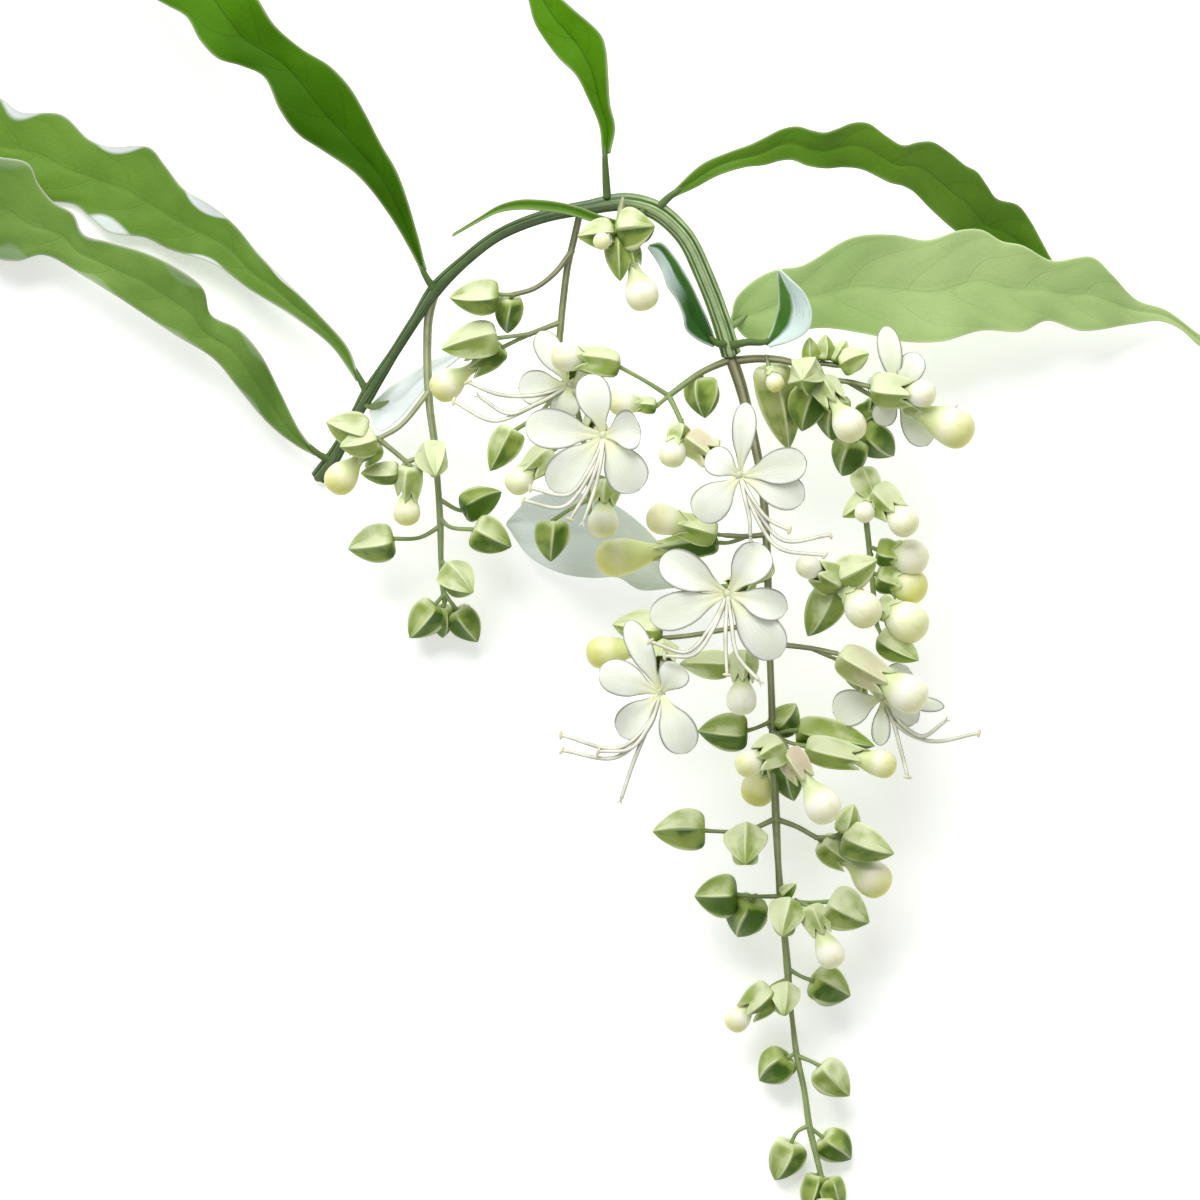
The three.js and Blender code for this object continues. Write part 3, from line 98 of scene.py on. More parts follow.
def along_curve(points: Array, shares: Array) -> Array:
    """Places on a centripetal Catmull-Rom curve.

    Each stretch between two points is a cubic. Its slopes at the ends come from the neighbouring
    points, weighted by the square roots of the gaps between them. The neighbour beyond an end is the
    end mirrored in it.

    Args:
        points: The points that the curve runs through, one a row.
        shares: Where to read the curve, from 0 at the first point to 1 at the last one.

    Returns:
        One place a row.
    """
    given = np.asarray(points, dtype=float)
    padded = np.vstack((2 * given[0] - given[1], given, 2 * given[-1] - given[-2]))
    place = np.clip(shares, 0.0, 1.0) * (len(given) - 1)
    index = np.minimum(place.astype(int), len(given) - 2)
    share = (place - index)[:, None]
    before, start, end, after = (padded[index + k] for k in range(4))
    first, middle, last = (
        np.maximum(np.linalg.norm(b - a, axis=1, keepdims=True), TINY) ** 0.5
        for a, b in ((before, start), (start, end), (end, after))
    )
    leaving = (start - before) / first - (end - before) / (first + middle) + (end - start) / middle
    arriving = (end - start) / middle - (after - start) / (middle + last) + (after - end) / last
    leaving, arriving = leaving * middle, arriving * middle
    square = -3 * start + 3 * end - 2 * leaving - arriving
    cube = 2 * start - 2 * end + leaving + arriving
    return start + share * (leaving + share * (square + share * cube))


def evenly_along(points: Array, count: int) -> Array:
    """Places at even steps of length along the curve through the points.

    Args:
        points: The points that the curve runs through, one a row.
        count: How many places to return.

    Returns:
        One place a row, the first and the last one on the curve's ends.
    """
    fine = along_curve(points, np.linspace(0.0, 1.0, FINE_STEPS * len(points)))
    run = run_of(fine)
    wanted = np.linspace(0.0, run[-1], count)
    return np.stack([np.interp(wanted, run, fine[:, axis]) for axis in range(fine.shape[1])], axis=1)


def run_of(path: Array) -> Array:
    """The length of a path up to each of its points."""
    return np.concatenate(([0.0], np.cumsum(np.linalg.norm(np.diff(path, axis=0), axis=1))))


def square_to(forward: Array, wish: Array | None = None) -> tuple[Array, Array]:
    """Two unit directions square to a unit way: one near the wish, or upwards, and one to its left."""
    if wish is None:
        wish = EAST if abs(forward[2]) > STEEP else UP
    side = unit(wish - forward * np.dot(wish, forward))
    return side, np.cross(forward, side)


def carried_frames(path: Array) -> tuple[Array, Array, Array]:
    """The forward, side and across directions along a path, carried from step to step without a twist."""
    forward = unit(np.gradient(path, axis=0))
    side = np.empty_like(forward)
    wish = None
    for step, way in enumerate(forward):
        side[step], _ = square_to(way, wish)
        wish = side[step]
    return forward, side, np.cross(forward, side)


def lit_facing(rings: Array) -> Array:
    """How far each ring surface point faces the lit side, from -1 to 1, for painted light and shade.

    The outward way is the step round the ring crossed with the step to the next ring.
    """
    round_step = np.roll(rings, -1, axis=1) - np.roll(rings, 1, axis=1)
    outward = unit(np.cross(round_step, np.gradient(rings, axis=0)))
    return outward @ unit(LIT_SIDE)


def level_steps(count: int) -> Array:
    """Even shares from 0 to 1, one a row."""
    return np.linspace(0.0, 1.0, count)[:, None]


def across_steps(count: int) -> Array:
    """Shares from -1 to 1 that lie closer together to both ends, by a quarter wave to each side."""
    return np.sin(np.linspace(-0.5, 0.5, count) * np.pi)


def ring_ends(rings: Array) -> Array:
    """Poles in the middle of the first and the last ring."""
    return np.stack((rings[0].mean(axis=0), rings[-1].mean(axis=0)))


def thickened(sheet: Array, above: Array, below: Array) -> Array:
    """A sheet as closed rings: its upper face, and its lower face in reverse.

    Each face lies off the sheet along its normal, which is the step along crossed with the step
    across, turned upwards.

    Args:
        sheet: Points by row, place across and coordinate.
        above: How far the upper face lies over each point.
        below: How far the lower face lies under it.

    Returns:
        The rings, one a row of the sheet.
    """
    normal = unit(np.cross(np.gradient(sheet, axis=0), np.gradient(sheet, axis=1)))
    normal *= np.sign(normal[..., 2:3])
    upper, lower = sheet + normal * above[..., None], sheet - normal * below[..., None]
    return np.concatenate((upper, lower[:, ::-1]), axis=1)


def both_faces(values: Array, rows: int) -> Array:
    """The same values on the upper face and, in reverse, on the lower one, for each row."""
    spread = np.broadcast_to(values, (rows, values.shape[-1]))
    return np.concatenate((spread, spread[:, ::-1]), axis=1)


class Tissue:
    """The closed surfaces of one piece, gathered as arrays and then made into one mesh.

    Each point carries three triples of values, which the materials read: growth, marks and veins.
    """

    def __init__(self) -> None:
        """Starts with no surface."""
        self.points: list[Array] = []
        self.faces: list[list[int]] = []
        self.finishes: list[int] = []
        self.values: dict[str, list[Array]] = {"growth": [], "marks": [], "veins": []}
        self.count = 0

    def add(
        self, rings: Array, poles: Array, finish: int, growth: Triple, marks: Triple = PLAIN,
        veins: Triple = PLAIN,
    ) -> None:
        """Adds a surface of closed rings whose two ends are drawn to poles.

        Neighbouring rings are joined by four-sided faces and each end by a fan of triangles. The
        faces are turned round where the volume that they enclose comes out below zero.

        Args:
            rings: Points by ring, place in the ring and coordinate.
            poles: The point that closes the first ring and the one that closes the last.
            finish: Index of the finish that the surface wears.
            growth: Three values, each one number or an array that spreads over the rings.
            marks: Three further values.
            veins: Three further values.
        """
        rows, columns = rings.shape[:2]
        index = np.arange(rows * columns).reshape(rows, columns)
        after = np.roll(index, -1, axis=1)
        quads = np.stack((index[:-1], after[:-1], after[1:], index[1:]), axis=-1).reshape(-1, 4)
        first = np.full(columns, rows * columns)
        opening = np.stack((first, after[0], index[0]), axis=-1)
        closing = np.stack((first + 1, index[-1], after[-1]), axis=-1)
        fans = np.concatenate((opening, closing))
        points = np.concatenate((rings.reshape(-1, 3), poles))
        corners = np.concatenate((quads[:, :3], quads[:, (0, 2, 3)], fans))
        a, b, c = (points[corners[:, k]] - points[0] for k in range(3))
        if np.einsum("ij,ij->i", a, np.cross(b, c)).sum() < 0:
            quads, fans = quads[:, ::-1], fans[:, ::-1]
        self.points.append(points)
        self.faces.extend((quads + self.count).tolist())
        self.faces.extend((fans + self.count).tolist())
        self.finishes.extend([finish] * (len(quads) + len(fans)))
        for kept, triple in zip(self.values.values(), (growth, marks, veins)):
            spread = np.stack([np.broadcast_to(part, (rows, columns)) for part in triple], axis=-1)
            kept.append(np.concatenate((spread.reshape(-1, 3), ring_ends(spread))))
        self.count += len(points)

    def piece(self, node: str, shelf: "Shelf", *finishes: "Finish") -> bpy.types.Object:
        """Makes the mesh object: at the origin, in metres, smooth, with its values as attributes.

        Args:
            node: The node that it replaces.
            shelf: Where its materials come from.
            finishes: The finish for each index.

        Returns:
            The new object.
        """
        name = f"{node}_grown"
        points = (np.concatenate(self.points) + VIEW_TO_SPRAY) * MM
        points[:, 2] = np.maximum(points[:, 2], 0.0)
        mesh = bpy.data.meshes.new(name)
        mesh.from_pydata(points.tolist(), [], self.faces)
        for finish in finishes:
            mesh.materials.append(shelf.material(finish))
        mesh.polygons.foreach_set("material_index", self.finishes)
        mesh.polygons.foreach_set("use_smooth", [True] * len(self.faces))
        for key, parts in self.values.items():
            attribute = mesh.attributes.new(key, "FLOAT_VECTOR", "POINT")
            attribute.data.foreach_set("vector", np.concatenate(parts).astype(np.float32).ravel())
        mesh.update()
        made = bpy.data.objects.new(name, mesh)
        bpy.context.scene.collection.objects.link(made)
        log.info("%s: %d points, %d faces", name, len(points), len(self.faces))
        return made


def turned(angles: Array, rows: int) -> Triple:
    """The angle round a stalk as its cosine and sine, and the share along it."""
    return np.cos(angles), np.sin(angles), level_steps(rows)


def tube(points: Array, radii: Row, rows: int, section: Array, angles: Array) -> tuple[Array, Array]:
    """A tube along the curve through the points.

    Each ring is the section, scaled by the radius there, in the plane square to the way. The radius
    runs straight from one given value to the next, and the last ring bulges to its pole.

    Args:
        points: The points that the middle line runs through.
        radii: Radii at even shares of the points.
        rows: How many rings.
        section: Relative radius at each angle.
        angles: Angles round the way, from the side direction.

    Returns:
        The rings and the two poles.
    """
    shares = np.linspace(0.0, 1.0, rows)
    path = along_curve(points, shares)
    forward, side, across = carried_frames(path)
    radius = np.interp(shares * (len(radii) - 1), np.arange(len(radii)), radii)
    reach = radius[:, None] * section
    rings = (
        path[:, None]
        + (reach * np.cos(angles))[..., None] * side[:, None]
        + (reach * np.sin(angles))[..., None] * across[:, None]
    )
    poles = np.stack((path[0], path[-1] + TIP_BULGE * radius[-1] * forward[-1]))
    return rings, poles


def round_tube(points: Array, radii: Row, rows: int, columns: int) -> tuple[Array, Array]:
    """The rings and the poles of a tube with a round section."""
    return tube(points, radii, rows, np.ones(columns), round_angles(columns))


def round_angles(columns: int) -> Array:
    """Even angles round a full turn."""
    return np.linspace(0.0, 2 * np.pi, columns, endpoint=False)


def ridged(angles: Array, ridges: int, hollow: float, sharp: float) -> Array:
    """A ridged section: 1 on each ridge, hollow in between, narrower ridges with a greater sharp."""
    return hollow + (1.0 - hollow) * np.abs(np.cos(angles * ridges / 2)) ** sharp


@dataclass(frozen=True)
class Standing:
    """Where a calyx or a bud stands: its base, its forward way and two directions square to it."""

    base: Array
    forward: Array
    side: Array
    across: Array
    reach: float

    @classmethod
    def between(cls, base: Point | Array, towards: Point | Array) -> "Standing":
        """Stands on the base and points towards the other point."""
        start = np.asarray(base, dtype=float)
        way = np.asarray(towards, dtype=float) - start
        forward = unit(way)
        side, across = square_to(forward)
        return cls(start, forward, side, across, float(np.linalg.norm(way)))

    def rings(self, distance: Array, radius: Array, angles: Array) -> Array:
        """Ring points at the given distances along the way and radii round it."""
        return (
            self.base
            + np.broadcast_to(distance, radius.shape)[..., None] * self.forward
            + (radius * np.cos(angles))[..., None] * self.side
            + (radius * np.sin(angles))[..., None] * self.across
        )

    def at(self, distance: float) -> Array:
        """The point at a distance along the way."""
        return self.base + distance * self.forward


def linear(colour: Colour) -> Row:
    """A display colour, by the standard display curve, as the linear opaque one that a shader takes."""
    parts = [(value + 0.055) ** 2.4 / 1.055**2.4 if value > 0.04045 else value / 12.92 for value in colour]
    return (*parts, 1.0)


class Tree:
    """A node tree, with short ways to add nodes and join them."""

    def __init__(self, tree: bpy.types.NodeTree) -> None:
        """Works on the given tree."""
        self.tree = tree

    @classmethod
    def fresh(cls, owner: bpy.types.Material | bpy.types.World) -> "Tree":
        """Turns on the nodes of a material or a world, empties its tree and works on it."""
        owner.use_nodes = True
        owner.node_tree.nodes.clear()
        return cls(owner.node_tree)

    def add(
        self, kind: str, inputs: dict[str | int, object] | None = None, **settings: object
    ) -> bpy.types.Node:
        """Adds a node.

        Args:
            kind: The node's type name.
            inputs: A value or an output socket for each named or numbered input.
            settings: Properties of the node.

        Returns:
            The new node.
        """
        node = self.tree.nodes.new(kind)
        for name, value in settings.items():
            setattr(node, name, value)
        for name, value in (inputs or {}).items():
            if isinstance(value, Output):
                self.tree.links.new(value, node.inputs[name])
            else:
                node.inputs[name].default_value = value
        return node

    def maths(self, operation: str, *terms: object, clamp: bool = False) -> Output:
        """One step of arithmetic on values or sockets."""
        node = self.add("ShaderNodeMath", dict(enumerate(terms)), operation=operation, use_clamp=clamp)
        return node.outputs[0]

    def times(self, first: object, second: object, clamp: bool = False) -> Output:
        """The product of two values or sockets."""
        return self.maths("MULTIPLY", first, second, clamp=clamp)

    def between(self, value: Output, low: float, high: float) -> Output:
        """A smooth mask: 0 where the value is at low and 1 where it is at high, in either order."""
        inputs = {"Value": value, "From Min": low, "From Max": high}
        return self.add("ShaderNodeMapRange", inputs, interpolation_type="SMOOTHSTEP").outputs["Result"]

    def noise(self, place: Output, scale: object, detail: float = 2.0) -> Output:
        """Soft noise from 0 to 1 over the places."""
        inputs = {"Vector": place, "Scale": scale, "Detail": detail}
        return self.add("ShaderNodeTexNoise", inputs).outputs[0]

    def blend(self, share: object, first: object, second: object) -> Output:
        """The first colour where share is 0 and the second where it is 1; plain ones are display colours."""
        first, second = (item if isinstance(item, Output) else linear(item) for item in (first, second))
        node = self.add("ShaderNodeMix", {0: share, 6: first, 7: second}, data_type="RGBA")
        return node.outputs[2]

    def layered(self, colour: Output, *layers: tuple[Output, Colour]) -> Output:
        """The colour with further ones laid over it in order, each by its own mask."""
        for mask, over in layers:
            colour = self.blend(mask, colour, over)
        return colour

    def values(self, name: str) -> tuple[Output, ...]:
        """The three parts of one of the surface's own values."""
        vector = self.add("ShaderNodeAttribute", attribute_name=name).outputs["Vector"]
        return tuple(self.add("ShaderNodeSeparateXYZ", {0: vector}).outputs)

    def group(self, group: bpy.types.NodeTree, **inputs: object) -> bpy.types.Node:
        """Places a shared node group with its own inputs."""
        return self.add("ShaderNodeGroup", inputs, node_tree=group)


def new_group(name: str, inputs: dict[str, str], outputs: tuple[str, ...]) -> tuple[Tree, dict]:
    """Starts a shared node group.

    Args:
        name: The group's name.
        inputs: Socket type for each input's name.
        outputs: The names of its outputs, all of them values.

    Returns:
        The group's tree and its input sockets by name.
    """
    group = bpy.data.node_groups.new(name, "ShaderNodeTree")
    for label, kind in inputs.items():
        group.interface.new_socket(label, in_out="INPUT", socket_type=kind)
    for label in outputs:
        group.interface.new_socket(label, in_out="OUTPUT", socket_type="NodeSocketFloat")
    tree = Tree(group)
    entry = tree.add("NodeGroupInput")
    return tree, {socket.name: socket for socket in entry.outputs}


@dataclass(frozen=True)
class Mottle:
    """Soft cloudy tone and fine grain, as on any living skin, from two noises of different scale."""

    cloud_detail: float = 3.0
    grain_fineness: float = 9.0
    cloud_edge: Span = (0.36, 0.64)

    def build(self) -> bpy.types.NodeTree:
        """Builds the shared group."""
        kinds = {"Position": "NodeSocketVector", "Scale": "NodeSocketFloat"}
        tree, given = new_group("skin mottle", kinds, ("Tone", "Grain"))
        cloud = tree.noise(given["Position"], given["Scale"], self.cloud_detail)
        grain = tree.noise(given["Position"], tree.times(given["Scale"], self.grain_fineness))
        tree.add("NodeGroupOutput", {"Tone": tree.between(cloud, *self.cloud_edge), "Grain": grain})
        return tree.tree


@dataclass(frozen=True)
class Venation:
    """The veins of a leaf.

    Side veins lie where the phase, which grows by one from vein to vein, is a whole number. The
    midrib lies where the distance from it is near zero. The net between them is the edges of small
    cells.
    """

    side_edge: Span = (0.465, 0.5)
    midrib_edge: Span = (0.34, 0.1)
    cell_scale: float = 620.0
    cell_edge: Span = (0.12, 0.0)

    def build(self) -> bpy.types.NodeTree:
        """Builds the shared group."""
        kinds = {"Phase": "NodeSocketFloat", "Distance": "NodeSocketFloat", "Position": "NodeSocketVector"}
        tree, given = new_group("leaf venation", kinds, ("Side veins", "Midrib", "Net"))
        off = tree.maths("ABSOLUTE", tree.maths("SUBTRACT", tree.maths("FRACT", given["Phase"]), 0.5))
        midrib = tree.between(tree.maths("ABSOLUTE", given["Distance"]), *self.midrib_edge)
        place = {"Vector": given["Position"], "Scale": self.cell_scale}
        cells = tree.add("ShaderNodeTexVoronoi", place, feature="DISTANCE_TO_EDGE")
        net = tree.between(cells.outputs["Distance"], *self.cell_edge)
        side = tree.between(off, *self.side_edge)
        tree.add("NodeGroupOutput", {"Side veins": side, "Midrib": midrib, "Net": net})
        return tree.tree


@dataclass(frozen=True)
class Skin:
    """What a finish paints with: its tree, the place on the spray, its mottle and the shared veins."""

    tree: Tree
    position: Output
    tone: Output
    grain: Output
    venation: bpy.types.NodeTree


class Shelf:
    """The shared node groups and the materials that have been made, each built once."""

    def __init__(self) -> None:
        """Builds the shared groups."""
        self.mottle = Mottle().build()
        self.venation = Venation().build()
        self.made: dict[str, bpy.types.Material] = {}

    def material(self, finish: "Finish") -> bpy.types.Material:
        """The material of a finish, built on its first use."""
        if finish.name not in self.made:
            material = bpy.data.materials.new(finish.name)
            tree = Tree.fresh(material)
            position = tree.add("ShaderNodeTexCoord").outputs["Object"]
            mottle = tree.group(self.mottle, Position=position, Scale=finish.mottle_scale)
            skin = Skin(tree, position, mottle.outputs["Tone"], mottle.outputs["Grain"], self.venation)
            colour, height = finish.paint(skin)
            relief = {"Strength": finish.bump, "Distance": BUMP_DEPTH * MM, "Height": height}
            bump = tree.add("ShaderNodeBump", relief)
            inputs = {
                "Base Color": colour,
                "Roughness": finish.roughness,
                "Normal": bump.outputs[0],
                "Coat Weight": finish.coat,
                "Coat Roughness": finish.coat_roughness,
                "Subsurface Weight": finish.glow,
                "Subsurface Scale": finish.glow_depth * MM,
                "Subsurface Radius": finish.glow_radius,
                "Specular IOR Level": finish.shine,
            }
            shader = tree.add("ShaderNodeBsdfPrincipled", inputs)
            tree.add("ShaderNodeOutputMaterial", {"Surface": shader.outputs[0]})
            self.made[finish.name] = material
        return self.made[finish.name]


@dataclass(frozen=True)
class Finish:
    """What every finish has: a name, its gloss, how far light soaks in and how fine its mottle is.

    In all finishes a share says how strongly a mask tints, and an edge from where to where it sets in.
    """

    name: str
    roughness: float = 0.5
    coat: float = 0.0
    coat_roughness: float = 0.25
    glow: float = 0.0
    glow_depth: float = 1.0
    glow_radius: Colour = (1.0, 1.0, 0.6)
    shine: float = 0.5
    bump: float = 0.3
    mottle_scale: float = 200.0

    def paint(self, skin: Skin) -> tuple[Output, Output]:
        """The colour and the height of the surface, as sockets."""
        raise NotImplementedError


@dataclass(frozen=True)
class LeafFinish(Finish):
    """A leaf blade: mottled green, darker veins, a pale margin and a painted sheen.

    sheen_band is the stretch across the blade, from -1 to 1, that has a painted sheen, sheen_along where
    along the blade it starts and where it is full, and crest_sheen how strongly a painted highlight lies
    on the margin where its waves turn it up.
    """

    mottle_scale: float = 45.0
    shade: Colour = (0.2, 0.4, 0.05)
    light: Colour = (0.3, 0.5, 0.1)
    vein: Colour = (0.15, 0.33, 0.04)
    margin: Colour = (0.6, 0.68, 0.45)
    painted_sheen: Colour = (0.86, 0.91, 0.92)
    crest_sheen: float = 0.5
    sheen_band: Span = (2.0, 3.0)
    sheen_along: Span = (-1.0, 0.0)
    sheen_strength: float = 0.0
    vein_strength: float = 0.5
    cloudiness: float = 0.4
    net_share: float = 0.16
    side_share: float = 0.6
    midrib_share: float = 1.1
    under_share: float = 0.45
    under_grey: float = 0.75
    margin_share: float = 0.8
    side_sunk: float = 1.2
    net_sunk: float = 0.5
    crest_reach: float = 0.42
    crest_edge: Span = (-0.02, 0.12)
    band_wander: float = 0.3
    wander_scale: float = 160.0
    band_fade: Span = (0.3, 0.35)
    streak_stretch: float = 3.2
    streak_scale: float = 2.6
    streak_detail: float = 3.0
    streak_edge: Span = (0.22, 0.42)

    def paint(self, skin: Skin) -> tuple[Output, Output]:
        """Two greens by the mottle, then veins, margin, painted sheen, and a paler underside."""
        tree = skin.tree
        along, across, tone = tree.values("growth")
        _, rim, wave = tree.values("marks")
        phase, distance, face = tree.values("veins")
        veins = tree.group(skin.venation, Phase=phase, Distance=distance, Position=skin.position)
        net, side, midrib = (veins.outputs[name] for name in ("Net", "Side veins", "Midrib"))
        level = tree.maths("ADD", tone, 0.5 - self.cloudiness / 2)
        share = tree.maths("MULTIPLY_ADD", skin.tone, self.cloudiness, level, clamp=True)
        colour = tree.blend(share, self.shade, self.light)
        for mask, veining in ((net, self.net_share), (side, self.side_share), (midrib, self.midrib_share)):
            mask = tree.times(mask, veining * self.vein_strength, clamp=True)
            colour = tree.blend(mask, colour, self.vein)
        under = tuple((value + self.under_grey) / 2 for value in self.light)
        painted_sheen = tree.maths("MAXIMUM", self.crest_sheen_mask(tree, across, wave), self.sheen_band_mask(skin, along, across))
        colour = tree.layered(
            colour,
            (tree.times(tree.between(face, 0.0, -1.0), self.under_share), under),
            (painted_sheen, self.painted_sheen),
            (tree.times(rim, self.margin_share), self.margin),
        )
        sunk = tree.maths("MULTIPLY_ADD", side, -self.side_sunk, skin.grain)
        return colour, tree.maths("MULTIPLY_ADD", net, -self.net_sunk, sunk)

    def crest_sheen_mask(self, tree: Tree, across: Output, wave: Output) -> Output:
        """Painted highlights in arcs along the margin: the wider, the higher the wave turns it up there."""
        reach = tree.times(tree.maths("MAXIMUM", wave, 0.0), self.crest_reach)
        gap = tree.maths("SUBTRACT", 1.0, tree.maths("ABSOLUTE", across))
        inside = tree.between(tree.maths("SUBTRACT", reach, gap), *self.crest_edge)
        return tree.times(inside, self.crest_sheen)

    def sheen_band_mask(self, skin: Skin, along: Output, across: Output) -> Output:
        """Painted sheen between two shares across, streaked along the blade and fading at its ends."""
        tree = skin.tree
        start, end = self.sheen_band
        rise, fall = self.band_fade
        lines = tree.add("ShaderNodeCombineXYZ", {0: tree.times(across, self.streak_stretch), 1: along})
        streak = tree.noise(lines.outputs[0], self.streak_scale, self.streak_detail)
        level = tree.maths("SUBTRACT", across, self.band_wander / 2)
        soft = tree.noise(skin.position, self.wander_scale)
        place = tree.maths("MULTIPLY_ADD", soft, self.band_wander, level)
        inside = tree.times(tree.between(place, start, start + rise), tree.between(place, end, end - fall))
        reach = tree.times(inside, tree.between(along, *self.sheen_along))
        return tree.times(tree.times(reach, tree.between(streak, *self.streak_edge)), self.sheen_strength)


@dataclass(frozen=True)
class CalyxFinish(Finish):
    """A calyx: green in the shade of the raceme, pale yellow-green in front, with pale keels."""

    mottle_scale: float = 210.0
    # deep, fresh and pale run from painted shade to painted light.
    deep: Colour = (0.26, 0.4, 0.0)
    fresh: Colour = (0.59, 0.67, 0.31)
    pale: Colour = (0.87, 0.9, 0.73)
    tip: Colour = (0.72, 0.82, 0.44)
    keel: Colour = (0.92, 0.95, 0.76)
    inner: Colour = (0.6, 0.68, 0.3)
    flush: Colour = (0.84, 0.74, 0.66)
    cloud_share: float = 0.3
    fresh_edge: Span = (0.0, 0.5)
    pale_edge: Span = (0.45, 1.1)
    tip_share: float = 0.25
    flush_edge: Span = (-0.5, 0.9)
    nerve_share: float = 0.4
    inner_share: float = 0.85
    keel_share: float = 0.8
    lip_share: float = 0.9

    def paint(self, skin: Skin) -> tuple[Output, Output]:
        """Painted light and shade by place, mottle, a yellower tip, flushes in places, dark inside, pale
        keels.
        """
        tree = skin.tree
        along, _, tone = tree.values("growth")
        ridge, rim, inside = tree.values("marks")
        blush, nerve, _ = tree.values("veins")
        level = tree.maths("SUBTRACT", tone, self.cloud_share / 2)
        cloud = tree.maths("MULTIPLY_ADD", skin.tone, self.cloud_share, level, clamp=True)
        edge = tree.maths("MAXIMUM", tree.times(ridge, self.keel_share), tree.times(rim, self.lip_share))
        colour = tree.layered(
            tree.blend(tree.between(cloud, *self.fresh_edge), self.deep, self.fresh),
            (tree.between(cloud, *self.pale_edge), self.pale),
            (tree.times(tree.maths("POWER", along, 2.0), self.tip_share), self.tip),
            (tree.times(blush, tree.between(skin.tone, *self.flush_edge)), self.flush),
            (tree.times(nerve, self.nerve_share), self.deep),
            (tree.times(inside, self.inner_share), self.inner),
            (edge, self.keel),
        )
        return colour, skin.grain


@dataclass(frozen=True)
class BudFinish(Finish):
    """A corolla in bud: cream by its neck, olive yellow at its round end and where painted shade lies."""

    mottle_scale: float = 190.0
    neck: Colour = (0.86, 0.9, 0.68)
    cream: Colour = (0.985, 0.98, 0.9)
    # The olive of the round end, also laid on as painted shade.
    ripe_and_shaded: Colour = (0.87, 0.87, 0.5)
    crease: Colour = (0.8, 0.82, 0.52)
    cream_edge: Span = (0.15, 0.55)
    ripe_edge: Span = (0.45, 1.0)
    ripe_share: float = 0.5
    cloud_share: float = 0.08
    crease_share: float = 0.3

    def paint(self, skin: Skin) -> tuple[Output, Output]:
        """Neck to cream to olive along the bud, painted light and shade by tone, mottle, darker in creases.
        """
        tree = skin.tree
        along, _, tone = tree.values("growth")
        crease, _, _ = tree.values("marks")
        riper_and_shaded = tree.maths("MULTIPLY_ADD", tree.between(along, *self.ripe_edge), self.ripe_share, tone)
        colour = tree.layered(
            tree.blend(tree.between(along, *self.cream_edge), self.neck, self.cream),
            (tree.maths("MULTIPLY_ADD", skin.tone, self.cloud_share, riper_and_shaded, clamp=True), self.ripe_and_shaded),
            (tree.times(crease, self.crease_share), self.crease),
        )
        return colour, skin.grain


@dataclass(frozen=True)
class PetalFinish(Finish):
    """A petal: cool white with faint veins, a yellow-green throat and a fine darker margin."""

    mottle_scale: float = 130.0
    white: Colour = (0.985, 0.99, 0.95)
    cloud: Colour = (0.87, 0.9, 0.8)
    throat: Colour = (0.93, 0.94, 0.76)
    vein: Colour = (0.8, 0.82, 0.74)
    margin: Colour = (0.24, 0.26, 0.17)
    hollow_share: float = 0.4
    cloud_share: float = 0.3
    throat_edge: Span = (0.5, 0.04)
    vein_turns: float = 14.0
    vein_edge: Span = (0.3, 0.0)
    vein_share: float = 0.4
    vein_fade: Span = (1.0, 0.3)
    margin_share: float = 0.85

    def paint(self, skin: Skin) -> tuple[Output, Output]:
        """White, greyed by mottle and painted shade down its middle, throat-tinted, veined along, dark on
        the margin.
        """
        tree = skin.tree
        along, across, _ = tree.values("growth")
        _, rim, _ = tree.values("marks")
        squared = tree.maths("POWER", tree.maths("ABSOLUTE", across), 2.0)
        # Painted shade down the petal's middle, fading to its sides.
        hollow = tree.maths("MULTIPLY_ADD", squared, -self.hollow_share, self.hollow_share)
        shaded = tree.maths("MULTIPLY_ADD", skin.tone, self.cloud_share, hollow, clamp=True)
        fanned = tree.maths("ABSOLUTE", tree.maths("SINE", tree.times(across, self.vein_turns)))
        lines = tree.times(tree.between(fanned, *self.vein_edge), self.vein_share)
        colour = tree.layered(
            tree.blend(shaded, self.white, self.cloud),
            (tree.between(along, *self.throat_edge), self.throat),
            (tree.times(lines, tree.between(along, *self.vein_fade)), self.vein),
            (tree.times(rim, self.margin_share), self.margin),
        )
        return colour, tree.maths("SUBTRACT", skin.grain, lines)


